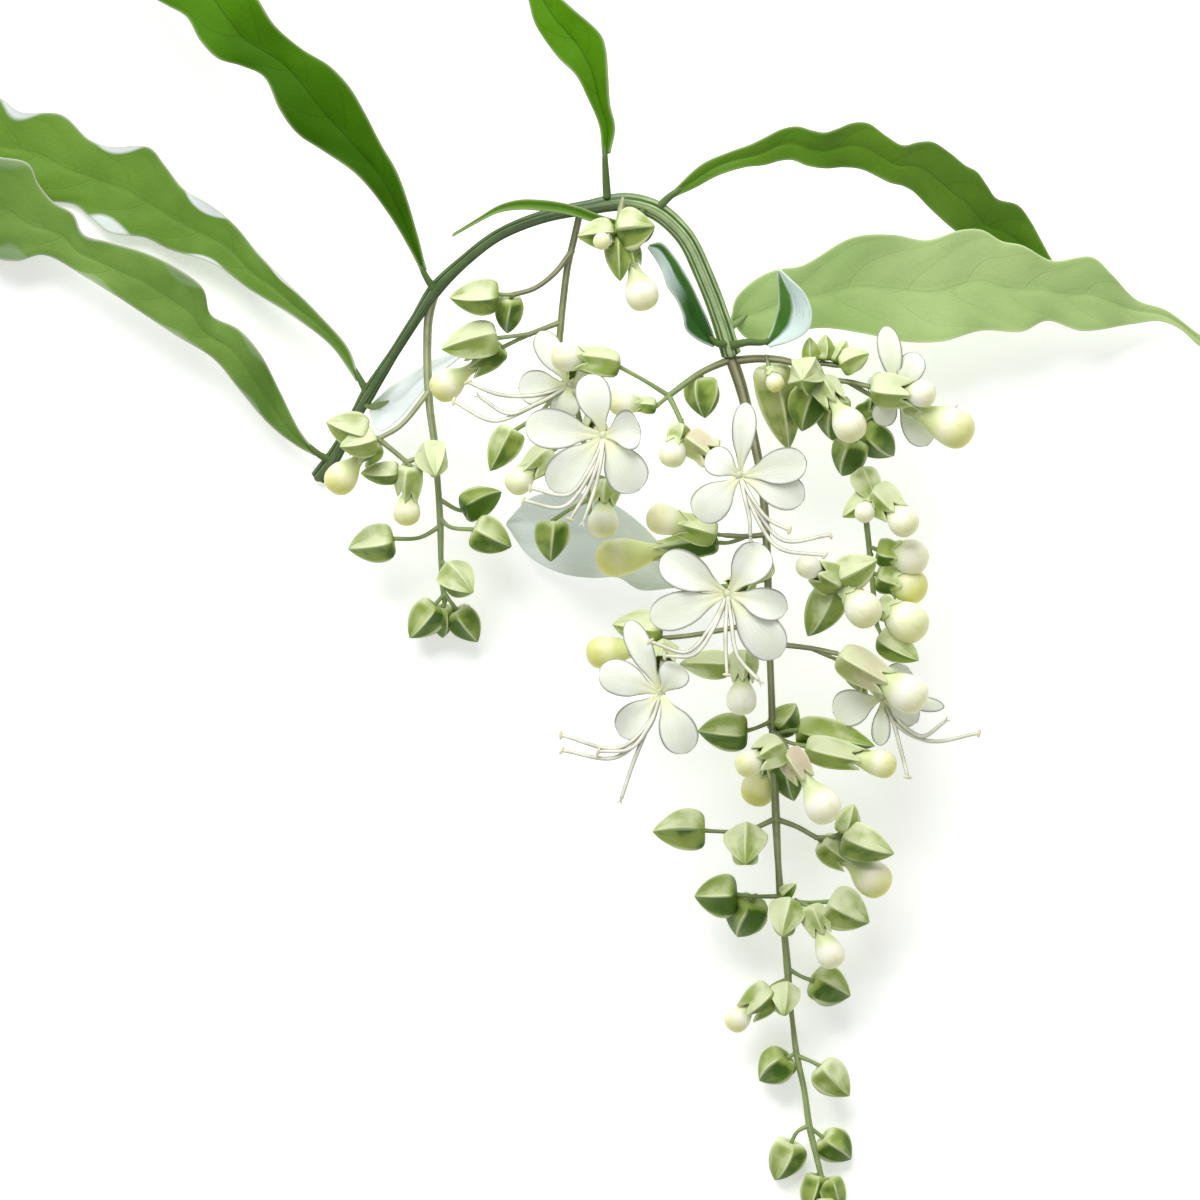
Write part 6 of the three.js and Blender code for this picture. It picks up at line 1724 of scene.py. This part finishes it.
@dataclass(frozen=True)
class Raceme:
    """A raceme or a small cyme: its axis and branches, closed calyces, and open ones with their buds."""

    node: str
    shape: RacemeShape
    seed: int
    slot: Slot = Slot.CALYX
    stalk_finish: StalkFinish = RACEME_STALK
    calyces: CalyxForm = CalyxForm()
    balls: BallForm = BallForm()
    axis_rows: int = 6
    axis_sink: float = 1.8
    branch_rows: int = 20
    branch_radii: Row = (0.66, 0.55, 0.55)
    stalk_rows: int = 8
    stalk_radii: Row = (0.5625, 0.4275, 0.495)
    stalk_columns: int = 10
    thick_stalk: float = 0.7
    ridges: int = 4
    hollow: float = 0.86
    sharp: float = 1.4
    # Painted shade of calyces and buds by their height over the nearest axis point.
    tone_depth: float = 14.0
    tone_level: float = 0.36
    tone_top: float = 0.72
    painted_light_tone: float = 0.6

    def add_stalk(
        self, tissue: Tissue, route: Array, radii: Row, rows: int, span: Span, sink: float = 0.35
    ) -> None:
        """Adds one stalk, slightly four-angled, that starts a little inside what carries it.

        Args:
            tissue: The piece to add it to.
            route: The points that it runs through.
            radii: Radii at even shares of the route.
            rows: How many rings.
            span: Its place between the raceme's root, 0, and its end, 1, at its start and end.
            sink: How far it starts inside what carries it.
        """
        angles = round_angles(self.stalk_columns * (1 if max(radii) < self.thick_stalk else 2))
        section = ridged(angles, self.ridges, self.hollow, self.sharp)
        points = np.array(route, dtype=float)
        points[0] -= sink * unit(points[1] - points[0])
        rings, poles = tube(points, radii, rows, section, angles)
        growth = (np.linspace(*span, rows)[:, None], 0.0, PLAIN_TONE)
        ridge = ((section - self.hollow) / (1 - self.hollow)) ** 2
        tissue.add(rings, poles, 0, growth, (ridge, 0.0, 0.0), turned(angles, rows))

    def share_of(self, point: Point) -> float:
        """How far along the raceme's axis the nearest axis point lies."""
        axis = np.asarray(self.shape.axis)[:, :3]
        return float(np.argmin(np.linalg.norm(axis - np.asarray(point), axis=1)) / (len(axis) - 1))

    def tone_at(self, place: Array) -> float:
        """Painted shade: paler where a calyx stands in front of the axis, nearer the viewer, deeper behind
        it.
        """
        axis = np.asarray(self.shape.axis)[:, :3]
        near = axis[np.argmin(np.linalg.norm(axis[:, :2] - place[:2], axis=1))]
        tone = self.tone_level + (place[2] - near[2]) / self.tone_depth
        return float(np.clip(tone, 0.0, self.tone_top))

    def add_pod(self, tissue: Tissue, pod: Pod, draw: Draws) -> None:
        """Adds a closed calyx.

        The outline is turned round the way with a five-angled section. The keels sharpen from the
        base to the middle, the tip leans a little, and fine seams part the lobes near the tip.

        Args:
            tissue: The piece to add it to.
            pod: The calyx as laid out.
            draw: Random draws for small differences between calyces.
        """
        form = self.calyces
        standing = Standing.between(pod.stalk[-1], pod.tip)
        angles, folds = calyx_columns()
        profile = evenly_along(form.pod, form.pod_rows)
        share, half = profile[:, :1], profile[:, 1:]
        depth = form.depth(share, form.pod_depths, form.pod_tip_edge)
        between_lobes = np.clip((folds - form.seam_start) / (1 - form.seam_start), 0, 1)
        seam = smooth_step(*form.seam_edge, share) * between_lobes
        radius = half * pod.wide * (angled(folds, depth) - form.seam_depth * seam)
        swell = 1 + form.unevenness * by_side(draw) * np.sin(np.pi * np.clip(share, 0, 1))
        turn = some_turn(draw) + form.twist * draw.normal() * share
        rings = standing.rings(share * standing.reach, radius * swell, angles + turn)
        lean = form.lean * draw.normal(size=2)
        bend = (share * (1 - share))[..., None] * standing.reach
        rings = rings + bend * (lean[0] * standing.side + lean[1] * standing.across)
        poles = np.stack((standing.at(form.foot * standing.reach), standing.at(standing.reach)))
        # Painted shade behind the axis, painted light on faces towards the lit side, painted shade on those
        # away.
        tone = self.tone_at(standing.at(standing.reach / 2)) + pod.pale + self.painted_light_tone * lit_facing(rings)
        marks, veins = (form.keel(folds, share), 0.0, 0.0), (pod.blush, form.seam_green * seam, 0.0)
        tissue.add(rings, poles, 1, (share, folds, tone), marks, veins)

    def add_cup(
        self, tissue: Tissue, standing: Standing, item: Bud | Socket, calyx: float, draw: Draws
    ) -> None:
        """Adds an open calyx: a thin-walled five-angled cup with pointed lobes.

        The lip reaches the full length on the keels and falls to the notches between them. The wall
        turns over at the lip and runs back inside to a floor. Where it holds a bud it stays outside
        the ball, and where it holds a flower its lobes spread.

        Args:
            tissue: The piece to add it to.
            standing: Where the calyx stands.
            item: The bud or flower that it holds, with the calyx's width and flush.
            calyx: The calyx's length.
            draw: Random draws for small differences between calyces.
        """
        form = self.calyces
        angles, folds = calyx_columns()
        angles = angles + some_turn(draw)
        profile = evenly_along(form.cup, form.cup_rows)
        share, half = profile[:, :1], profile[:, 1:]
        notch = max(form.notch, 1 - form.lobe_length / calyx)
        lobe = notch + (1 - notch) * (1 - folds**form.lobe_rounding)
        uneven = 1 + form.unevenness * by_side(draw)
        distance = calyx * share * (1 + (lobe * uneven - 1) * np.clip(share, 0, 1) ** form.lobe_onset)
        depth = form.depth(share, form.cup_depths, form.cup_tip_edge)
        flare = (form.flare + form.flare_change * by_side(draw)) * smooth_step(*form.flare_edge, share)
        radius = item.wide * half * angled(folds, depth)
        if isinstance(item, Bud):
            past, about = self.balls.half_widths(item)
            behind = np.interp(distance - standing.reach, past, about, left=0.0)
            radius = np.maximum(radius, behind + form.wall + form.clearance)
        else:
            radius = radius + item.wide * flare * (1 - folds)
        last = form.cup_rows
        pick = np.linspace(last - 1, form.inner_end * last, form.inner_rows).astype(int)
        outer = standing.rings(distance, radius, angles)
        inner = standing.rings(distance[pick] - form.lip_fall, radius[pick] - form.wall, angles)
        rings = np.concatenate((outer, inner))
        floor = standing.at(form.floor * form.floor_fall * calyx)
        every = np.concatenate((share, share[pick]))
        inside = np.repeat((0.0, 1.0), (form.cup_rows, form.inner_rows))[:, None]
        # Painted light on outer faces towards the lit side, painted shade on those away; none inside.
        painted_light = self.painted_light_tone * lit_facing(rings) * (1 - inside)
        growth = (every, folds, self.tone_at(standing.at(calyx / 2)) + painted_light)
        marks = (form.keel(folds, every) * (1 - inside), smooth_step(*form.lip_edge, every), inside)
        poles = np.stack((standing.at(form.foot * calyx), floor))
        tissue.add(rings, poles, 1, growth, marks, (item.blush, 0.0, 0.0))

    def add_ball(
        self, tissue: Tissue, standing: Standing, bud: Bud, calyx: float, draw: Draws
    ) -> None:
        """Adds a bud: a neck from inside the calyx that swells to a round ball of folded petals.

        The outline is turned round the way. Five shallow creases wind over the ball to its end. Painted
        shade makes a bud behind the axis, and each bud's side away from the light, more olive.

        Args:
            tissue: The piece to add it to.
            standing: Where its calyx stands.
            bud: The bud as laid out.
            calyx: The calyx's length.
            draw: Random draws for small differences between buds.
        """
        form = self.balls
        start = min(self.calyces.floor * calyx, standing.reach - form.behind * bud.size * bud.long)
        neck = min(form.neck * bud.size, form.neck_in_calyx * bud.wide)
        past, about = form.half_widths(bud)
        ball = np.stack((standing.reach + past, about), axis=1)
        profile = evenly_along(((start, neck), *ball), form.rows)
        distance, half = profile[:, :1], profile[:, 1:]
        angles = round_angles(form.columns)
        past = (distance - standing.reach) / bud.size
        wound = (CALYX_SIDES * angles / (2 * np.pi) + form.winding * past + draw.uniform()) % 1.0
        line = np.clip(1 - np.abs(wound - 0.5) / form.crease_width, 0, 1)
        crease = line * smooth_step(*form.crease_edge, past)
        rings = standing.rings(distance, half * (1 - form.crease_depth * crease), angles)
        poles = np.stack((standing.at(start), standing.at(standing.reach + form.end * bud.size)))
        # The bud's own ripeness and a random change, with painted shade behind the axis and painted light on
        # its lit side.
        ripe_and_shaded = bud.ripe_and_shaded + form.behind_shade * (form.behind_shade_level - self.tone_at(standing.at(standing.reach)))
        ripe_and_shaded = ripe_and_shaded + form.ripe_change * draw.normal() - form.painted_light_share * lit_facing(rings)
        along = smooth_step(-form.behind, form.end, past)
        tissue.add(rings, poles, 2, (along, 0.0, ripe_and_shaded), (crease, 0.0, 0.0))

    def build(self, shelf: Shelf) -> bpy.types.Object:
        """Builds the axis, then the branches, pods, buds and flower calyces as one piece."""
        shape = self.shape
        draw = np.random.default_rng(self.seed)
        tissue = Tissue()
        axis = np.asarray(shape.axis)
        rows = self.axis_rows * len(axis)
        self.add_stalk(tissue, axis[:, :3], tuple(axis[:, 3]), rows, (0.0, 1.0), self.axis_sink)
        for route in shape.branches:
            place = self.share_of(route[0])
            self.add_stalk(tissue, route, self.branch_radii, self.branch_rows, (place, place))
        for item in (*shape.pods, *shape.buds, *shape.sockets):
            rows = self.stalk_rows * len(item.stalk)
            self.add_stalk(tissue, item.stalk, self.stalk_radii, rows, (self.share_of(item.stalk[0]), 1.0))
        for pod in shape.pods:
            self.add_pod(tissue, pod, draw)
        for bud in shape.buds:
            standing = Standing.between(bud.stalk[-1], bud.ball)
            calyx = min(bud.calyx, standing.reach - self.balls.held * bud.size)
            self.add_cup(tissue, standing, bud, calyx, draw)
            self.add_ball(tissue, standing, bud, calyx, draw)
        for socket in shape.sockets:
            standing = Standing.between(socket.stalk[-1], socket.flower.tube[1])
            self.add_cup(tissue, standing, socket, socket.calyx, draw)
        return tissue.piece(self.node, shelf, self.stalk_finish, CALYX_SKIN, BUD_SKIN)


@dataclass(frozen=True)
class Flower:
    """An open flower: a slender tube, spoon-shaped petals, its stamens and a forked style.

    An edge says from which share of a petal's length to which something sets in or fades. Each point
    of fork_route is a branch's steps on along the style, apart from the other branch and to the side.
    """

    node: str
    shape: FlowerShape
    seed: int
    slot: Slot = Slot.PETAL
    tube_rows: int = 22
    tube_columns: int = 16
    tube_radii: Row = (0.7, 0.72, 0.78, 0.85, 0.95)
    tube_tint: Span = (0.4, 0.15)
    petal_outline: Outline = (
        (0.02, 0.15), (0.12, 0.22), (0.28, 0.47), (0.45, 0.83), (0.62, 1.0), (0.77, 0.985), (0.89, 0.8),
        (0.965, 0.5), (1.0, 0.16), (1.005, 0.02),
    )
    petal_rows: int = 26
    petal_columns: int = 13
    petal_thick: float = 0.26
    petal_edge: float = 0.35
    petal_lift: float = 0.1
    bow: float = 1.3
    claw_sink: float = 0.45
    droop: float = 4.0
    droop_start: float = 0.55
    cupping: Span = (-0.16, 0.22)
    crease_depth: float = 0.16
    crease_width: float = 0.14
    crease_edge: Span = (0.5, 0.95)
    ripple: float = 0.12
    ripple_turns: Span = (9.0, 3.0)
    rim_width: float = 0.25
    rim_end: float = 1.02
    rim_length: float = 14.0
    rim_edge: Span = (0.1, 0.3)
    thread_rows: int = 34
    thread_columns: int = 12
    thread_radii: Row = (0.45, 0.43, 0.41, 0.36)
    style_radii: Row = (0.46, 0.44, 0.42, 0.38)
    lit_edge: Span = (0.25, 0.8)
    anther_rows: int = 9
    anther_span: Span = (0.03, 0.97)
    anther_length: float = 1.9
    anther_half: float = 0.46
    anther_waist: float = 0.18
    anther_lean: float = 0.5
    fork_rows: int = 8
    fork_columns: int = 8
    fork_route: Route = ((-0.3, 0.0, 0.0), (0.5, 0.15, 0.0), (1.1, 0.55, 0.2))
    fork_radii: Row = (0.26, 0.2, 0.08)
    fork_paleness: float = 0.7

    def add_tube(self, tissue: Tissue) -> None:
        """Carries a round section along the tube, which widens and closes round the threads' feet."""
        rings, poles = round_tube(self.shape.tube, self.tube_radii, self.tube_rows, self.tube_columns)
        tissue.add(rings, poles, 1, (np.linspace(*self.tube_tint, self.tube_rows)[:, None], 0.0, 0.0))

    def add_petal(self, tissue: Tissue, throat: Array, row: Row, lift: float, draw: Draws) -> None:
        """Adds one petal.

        The middle line bows up between the throat and the tip, which bends down a little. The blade
        is cupped by the square of the share across, has a shallow crease along its claw and a
        slightly waved margin, and is thinner to its margin.

        Args:
            tissue: The piece to add it to.
            throat: The middle of the flower's throat.
            row: The petal's reach from the throat and its width.
            lift: How far it lies above the first petal.
            draw: Random draws for small differences between petals.
        """
        reach, wide = np.asarray(row[:3]), row[3]
        profile = evenly_along(self.petal_outline, self.petal_rows)
        share, half = profile[:, :1], profile[:, 1:]
        v = across_steps(self.petal_columns)
        droop = (0.5 + 0.5 * draw.uniform()) * self.droop * np.clip(share - self.droop_start, 0, 1) ** 2
        rise = self.bow * np.sin(np.pi * share) - self.claw_sink * (1 - share) - droop
        cupped = draw.uniform(*self.cupping) * wide * (v * half) ** 2
        fading = 1 - smooth_step(*self.crease_edge, share)
        crease = self.crease_depth * np.exp(-((v / self.crease_width) ** 2)) * fading
        turns_along, turns_across = self.ripple_turns
        turns = turns_along * share + turns_across * v + draw.uniform(0, 6)
        height = rise + cupped - crease + self.ripple * np.sin(turns) * v**2 + lift
        aside = half * v * wide / 2
        middle = throat + share * reach
        across = unit(np.cross(UP, reach))
        sheet = middle[:, None] + aside[..., None] * across + height[..., None] * UP
        fullness = self.petal_edge + (1 - self.petal_edge) * np.sqrt(np.clip(1 - v**4, 0, 1))
        body = self.petal_thick * fullness / 2
        rings = thickened(sheet, body, body)
        to_side, to_tip = (1 - np.abs(v)) * half * wide / 2, (self.rim_end - share) * self.rim_length
        rim = np.exp(-((np.minimum(to_side, to_tip) / self.rim_width) ** 2))
        rim = both_faces(rim * smooth_step(*self.rim_edge, share), self.petal_rows)
        growth = (share, both_faces(v, self.petal_rows), PLAIN_TONE)
        tissue.add(rings, ring_ends(rings), 0, growth, (0.0, rim, 0.0))

    def add_thread(self, tissue: Tissue, throat: Array, route: Route, radii: Row) -> tuple[Array, Array]:
        """Adds a stamen's thread or the style, painted light where it faces up, painted shade on its sides.

        Args:
            tissue: The piece to add it to.
            throat: The middle of the flower's throat.
            route: The points that it runs through, from the throat.
            radii: Radii at even shares of the route.

        Returns:
            Its end and the way that it ends in.
        """
        points = throat + np.asarray(((0.0, 0.0, -1.0), *route))
        rings, poles = round_tube(points, radii, self.thread_rows, self.thread_columns)
        # Painted light where the thread faces up, painted shade on its sides.
        raised = unit(rings - rings.mean(axis=1, keepdims=True))[..., 2]
        growth = (level_steps(self.thread_rows), 0.0, PLAIN_TONE)
        tissue.add(rings, poles, 2, growth, (smooth_step(*self.lit_edge, raised), 0.0, 0.0))
        return poles[1], unit(rings[-1].mean(axis=0) - rings[-3].mean(axis=0))

    def add_anther(self, tissue: Tissue, end: Array, way: Array, draw: Draws) -> None:
        """Adds an anther: two long lobes side by side, set across the thread's end.

        Args:
            tissue: The piece to add it to.
            end: The thread's end.
            way: The way that the thread ends in.
            draw: Random draws for how it leans.
        """
        side, _ = square_to(way)
        axis = unit(np.cross(way, side) + self.anther_lean * draw.normal() * way) * self.anther_length / 2
        standing = Standing.between(end - axis, end + axis)
        share = np.linspace(*self.anther_span, self.anther_rows)[:, None]
        angles = round_angles(self.thread_columns)
        lobed = np.abs(np.cos(angles))
        waist = 1 - self.anther_waist * (1 - lobed)
        half = self.anther_half * np.sqrt(np.clip(1 - (2 * share - 1) ** 2, 0, 1)) * waist
        rings = standing.rings(share * standing.reach, half, angles)
        poles = np.stack((standing.base, standing.at(standing.reach)))
        tissue.add(rings, poles, 3, (share, 0.0, PLAIN_TONE), (np.sqrt(lobed), 0.0, 0.0))

    def add_fork(self, tissue: Tissue, end: Array, way: Array) -> None:
        """Adds the style's two short pointed branches.

        Args:
            tissue: The piece to add them to.
            end: The style's end.
            way: The way that the style ends in.
        """
        side, across = square_to(way)
        for turn in (-1, 1):
            route = end + np.asarray(self.fork_route) @ np.stack((way, turn * across, side))
            rings, poles = round_tube(route, self.fork_radii, self.fork_rows, self.fork_columns)
            tissue.add(rings, poles, 2, (1.0, 0.0, PLAIN_TONE), (self.fork_paleness, 0.0, 0.0))

    def build(self, shelf: Shelf) -> bpy.types.Object:
        """Builds the tube, the petals, the stamens and the style as one piece."""
        draw = np.random.default_rng(self.seed)
        throat = np.asarray(self.shape.tube[-1])
        tissue = Tissue()
        self.add_tube(tissue)
        for rank, row in enumerate(self.shape.petals):
            self.add_petal(tissue, throat, row, self.petal_lift * rank, draw)
        *stamens, style = self.shape.threads
        for route in stamens:
            end, way = self.add_thread(tissue, throat, route, self.thread_radii)
            self.add_anther(tissue, end, way, draw)
        end, way = self.add_thread(tissue, throat, style, self.style_radii)
        self.add_fork(tissue, end, way)
        return tissue.piece(self.node, shelf, PETAL_SKIN, TUBE_SKIN, THREAD_SKIN, ANTHER_SKIN)


@dataclass(frozen=True)
class Lamp:
    """A square soft light in metres that faces the middle of the spray."""

    name: str
    place: Point
    size: float
    power: float

    def build(self) -> None:
        """Adds the light, which the camera doesn't see."""
        lamp = bpy.data.lights.new(self.name, "AREA")
        lamp.size = self.size
        lamp.energy = self.power
        light = bpy.data.objects.new(self.name, lamp)
        light.location = self.place
        light.rotation_euler = (-light.location).to_track_quat("-Z", "Y").to_euler()
        light.visible_camera = False
        bpy.context.scene.collection.objects.link(light)


@dataclass(frozen=True)
class Studio:
    """A plain pale floor, soft light from the top of the view, and a camera straight above."""

    floor_reach: float = 12.0
    floor_drop: float = 0.0001
    floor_tones: tuple[Colour, Colour] = ((0.965, 0.965, 0.96), (0.975, 0.975, 0.972))
    floor_scale: float = 3.0
    floor_roughness: float = 0.9
    floor_glow: float = 0.4
    lamps: tuple[Lamp, ...] = (
        Lamp("key light", (-0.35, 1.15, 1.1), 1.1, 27.0),
        Lamp("fill light", (0.8, -1.0, 1.0), 1.2, 2.0),
    )
    sky: float = 0.42
    sky_tone: Colour = (0.985, 0.99, 1.0)
    camera_height: float = 3.0
    sensor_width: float = 36.0

    def add_floor(self) -> None:
        """Adds the floor, a hair below the lowest leaf, with a matt near-white finish."""
        reach = self.floor_reach
        corners = [(x * reach, y * reach, -self.floor_drop) for x, y in ((-1, -1), (1, -1), (1, 1), (-1, 1))]
        mesh = bpy.data.meshes.new("floor")
        mesh.from_pydata(corners, [], [(0, 1, 2, 3)])
        material = bpy.data.materials.new("pale floor")
        tree = Tree.fresh(material)
        cloud = tree.noise(tree.add("ShaderNodeTexCoord").outputs["Object"], self.floor_scale)
        colour = tree.blend(cloud, *self.floor_tones)
        glow = {"Emission Color": colour, "Emission Strength": self.floor_glow}
        matt = {"Base Color": colour, "Roughness": self.floor_roughness, **glow}
        shader = tree.add("ShaderNodeBsdfPrincipled", matt)
        tree.add("ShaderNodeOutputMaterial", {"Surface": shader.outputs[0]})
        mesh.materials.append(material)
        floor = bpy.data.objects.new("floor", mesh)
        bpy.context.scene.collection.objects.link(floor)

    def add_sky(self) -> None:
        """Sets an even pale surround."""
        world = bpy.data.worlds.new("pale surround")
        tree = Tree.fresh(world)
        glow = tree.add("ShaderNodeBackground", {"Color": linear(self.sky_tone), "Strength": self.sky})
        tree.add("ShaderNodeOutputWorld", {"Surface": glow.outputs[0]})
        bpy.context.scene.world = world

    def add_camera(self) -> None:
        """Places a long lens straight above the middle of the view, framing the view's whole square."""
        lens = bpy.data.cameras.new("camera")
        lens.sensor_width = self.sensor_width
        lens.lens = lens.sensor_width * self.camera_height / (VIEW_WIDTH * MM)
        camera = bpy.data.objects.new("camera", lens)
        camera.location = (VIEW_TO_SPRAY[0] * MM, VIEW_TO_SPRAY[1] * MM, self.camera_height)
        bpy.context.scene.collection.objects.link(camera)
        bpy.context.scene.camera = camera

    def build(self) -> None:
        """Builds the floor, the lights, the surround and the camera."""
        bpy.context.scene.view_settings.view_transform = "Standard"
        self.add_floor()
        for lamp in self.lamps:
            lamp.build()
        self.add_sky()
        self.add_camera()


def sub_assemblies() -> list[MainStem | Leaf | Raceme | Flower]:
    """Every piece of the spray in building order."""
    leaves = [
        Leaf("leaf_a", LEAF_A, DEEP_LEAF, tone=-0.05, tone_lean=0.12, tone_ends=0.2),
        Leaf("leaf_b", LEAF_B, MID_LEAF, tone=0.2),
        Leaf("leaf_c", LEAF_C, GREY_GREEN_LEAF, tone=0.2, tone_rise=-0.5, tone_ends=0.6),
        Leaf("leaf_d", LEAF_D, DEEP_LEAF, tone=0.15),
        Leaf("leaf_e", LEAF_E, BRIGHT_LEAF),
        Leaf("leaf_f", LEAF_F, YOUNG_LEAF, PALE_LEAF_STALK, Slot.PALE_LEAF, tone_rise=0.3),
        Leaf("leaf_g", LEAF_G, BRIGHT_LEAF, thick=0.36),
        Leaf("leaf_h", LEAF_H, LANCE_LEAF),
        Leaf("leaf_i", LEAF_I, SHINING_LEAF),
        Leaf("leaf_j", LEAF_J, PALE_SHEEN_LEAF, PALE_LEAF_STALK, Slot.PALE_LEAF),
        Leaf("leaf_k", LEAF_K, PALE_SHEEN_LEAF, PALE_LEAF_STALK, Slot.PALE_LEAF),
    ]
    racemes = [
        Raceme("raceme_left", RACEME_LEFT, 11, stalk_finish=PALE_RACEME_STALK),
        Raceme("raceme_centre", RACEME_CENTRE, 12),
        Raceme("cyme_left", CYME_LEFT, 13),
        Raceme("cyme_apex", CYME_APEX, 14, stalk_finish=PALE_RACEME_STALK),
        Raceme("raceme_right", RACEME_RIGHT, 15),
        Raceme("raceme_main", RACEME_MAIN, 16),
    ]
    shapes = (FLOWER_0, FLOWER_1, FLOWER_2, FLOWER_3, FLOWER_4, FLOWER_5, FLOWER_6)
    flowers = [Flower(f"flower_{rank}", shape, FLOWER_SEED + rank) for rank, shape in enumerate(shapes)]
    return [MainStem(), *leaves, *racemes, *flowers]


def main() -> None:
    """Builds every piece on its node, then the studio."""
    logging.basicConfig(level=logging.INFO, format="%(name)s: %(message)s")
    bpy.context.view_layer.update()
    shelf = Shelf()
    for assembly in sub_assemblies():
        piece = assembly.build(shelf)
        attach(piece, "root")
        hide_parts(assembly.node)
    Studio().build()


if __name__ == "__main__":
    main()
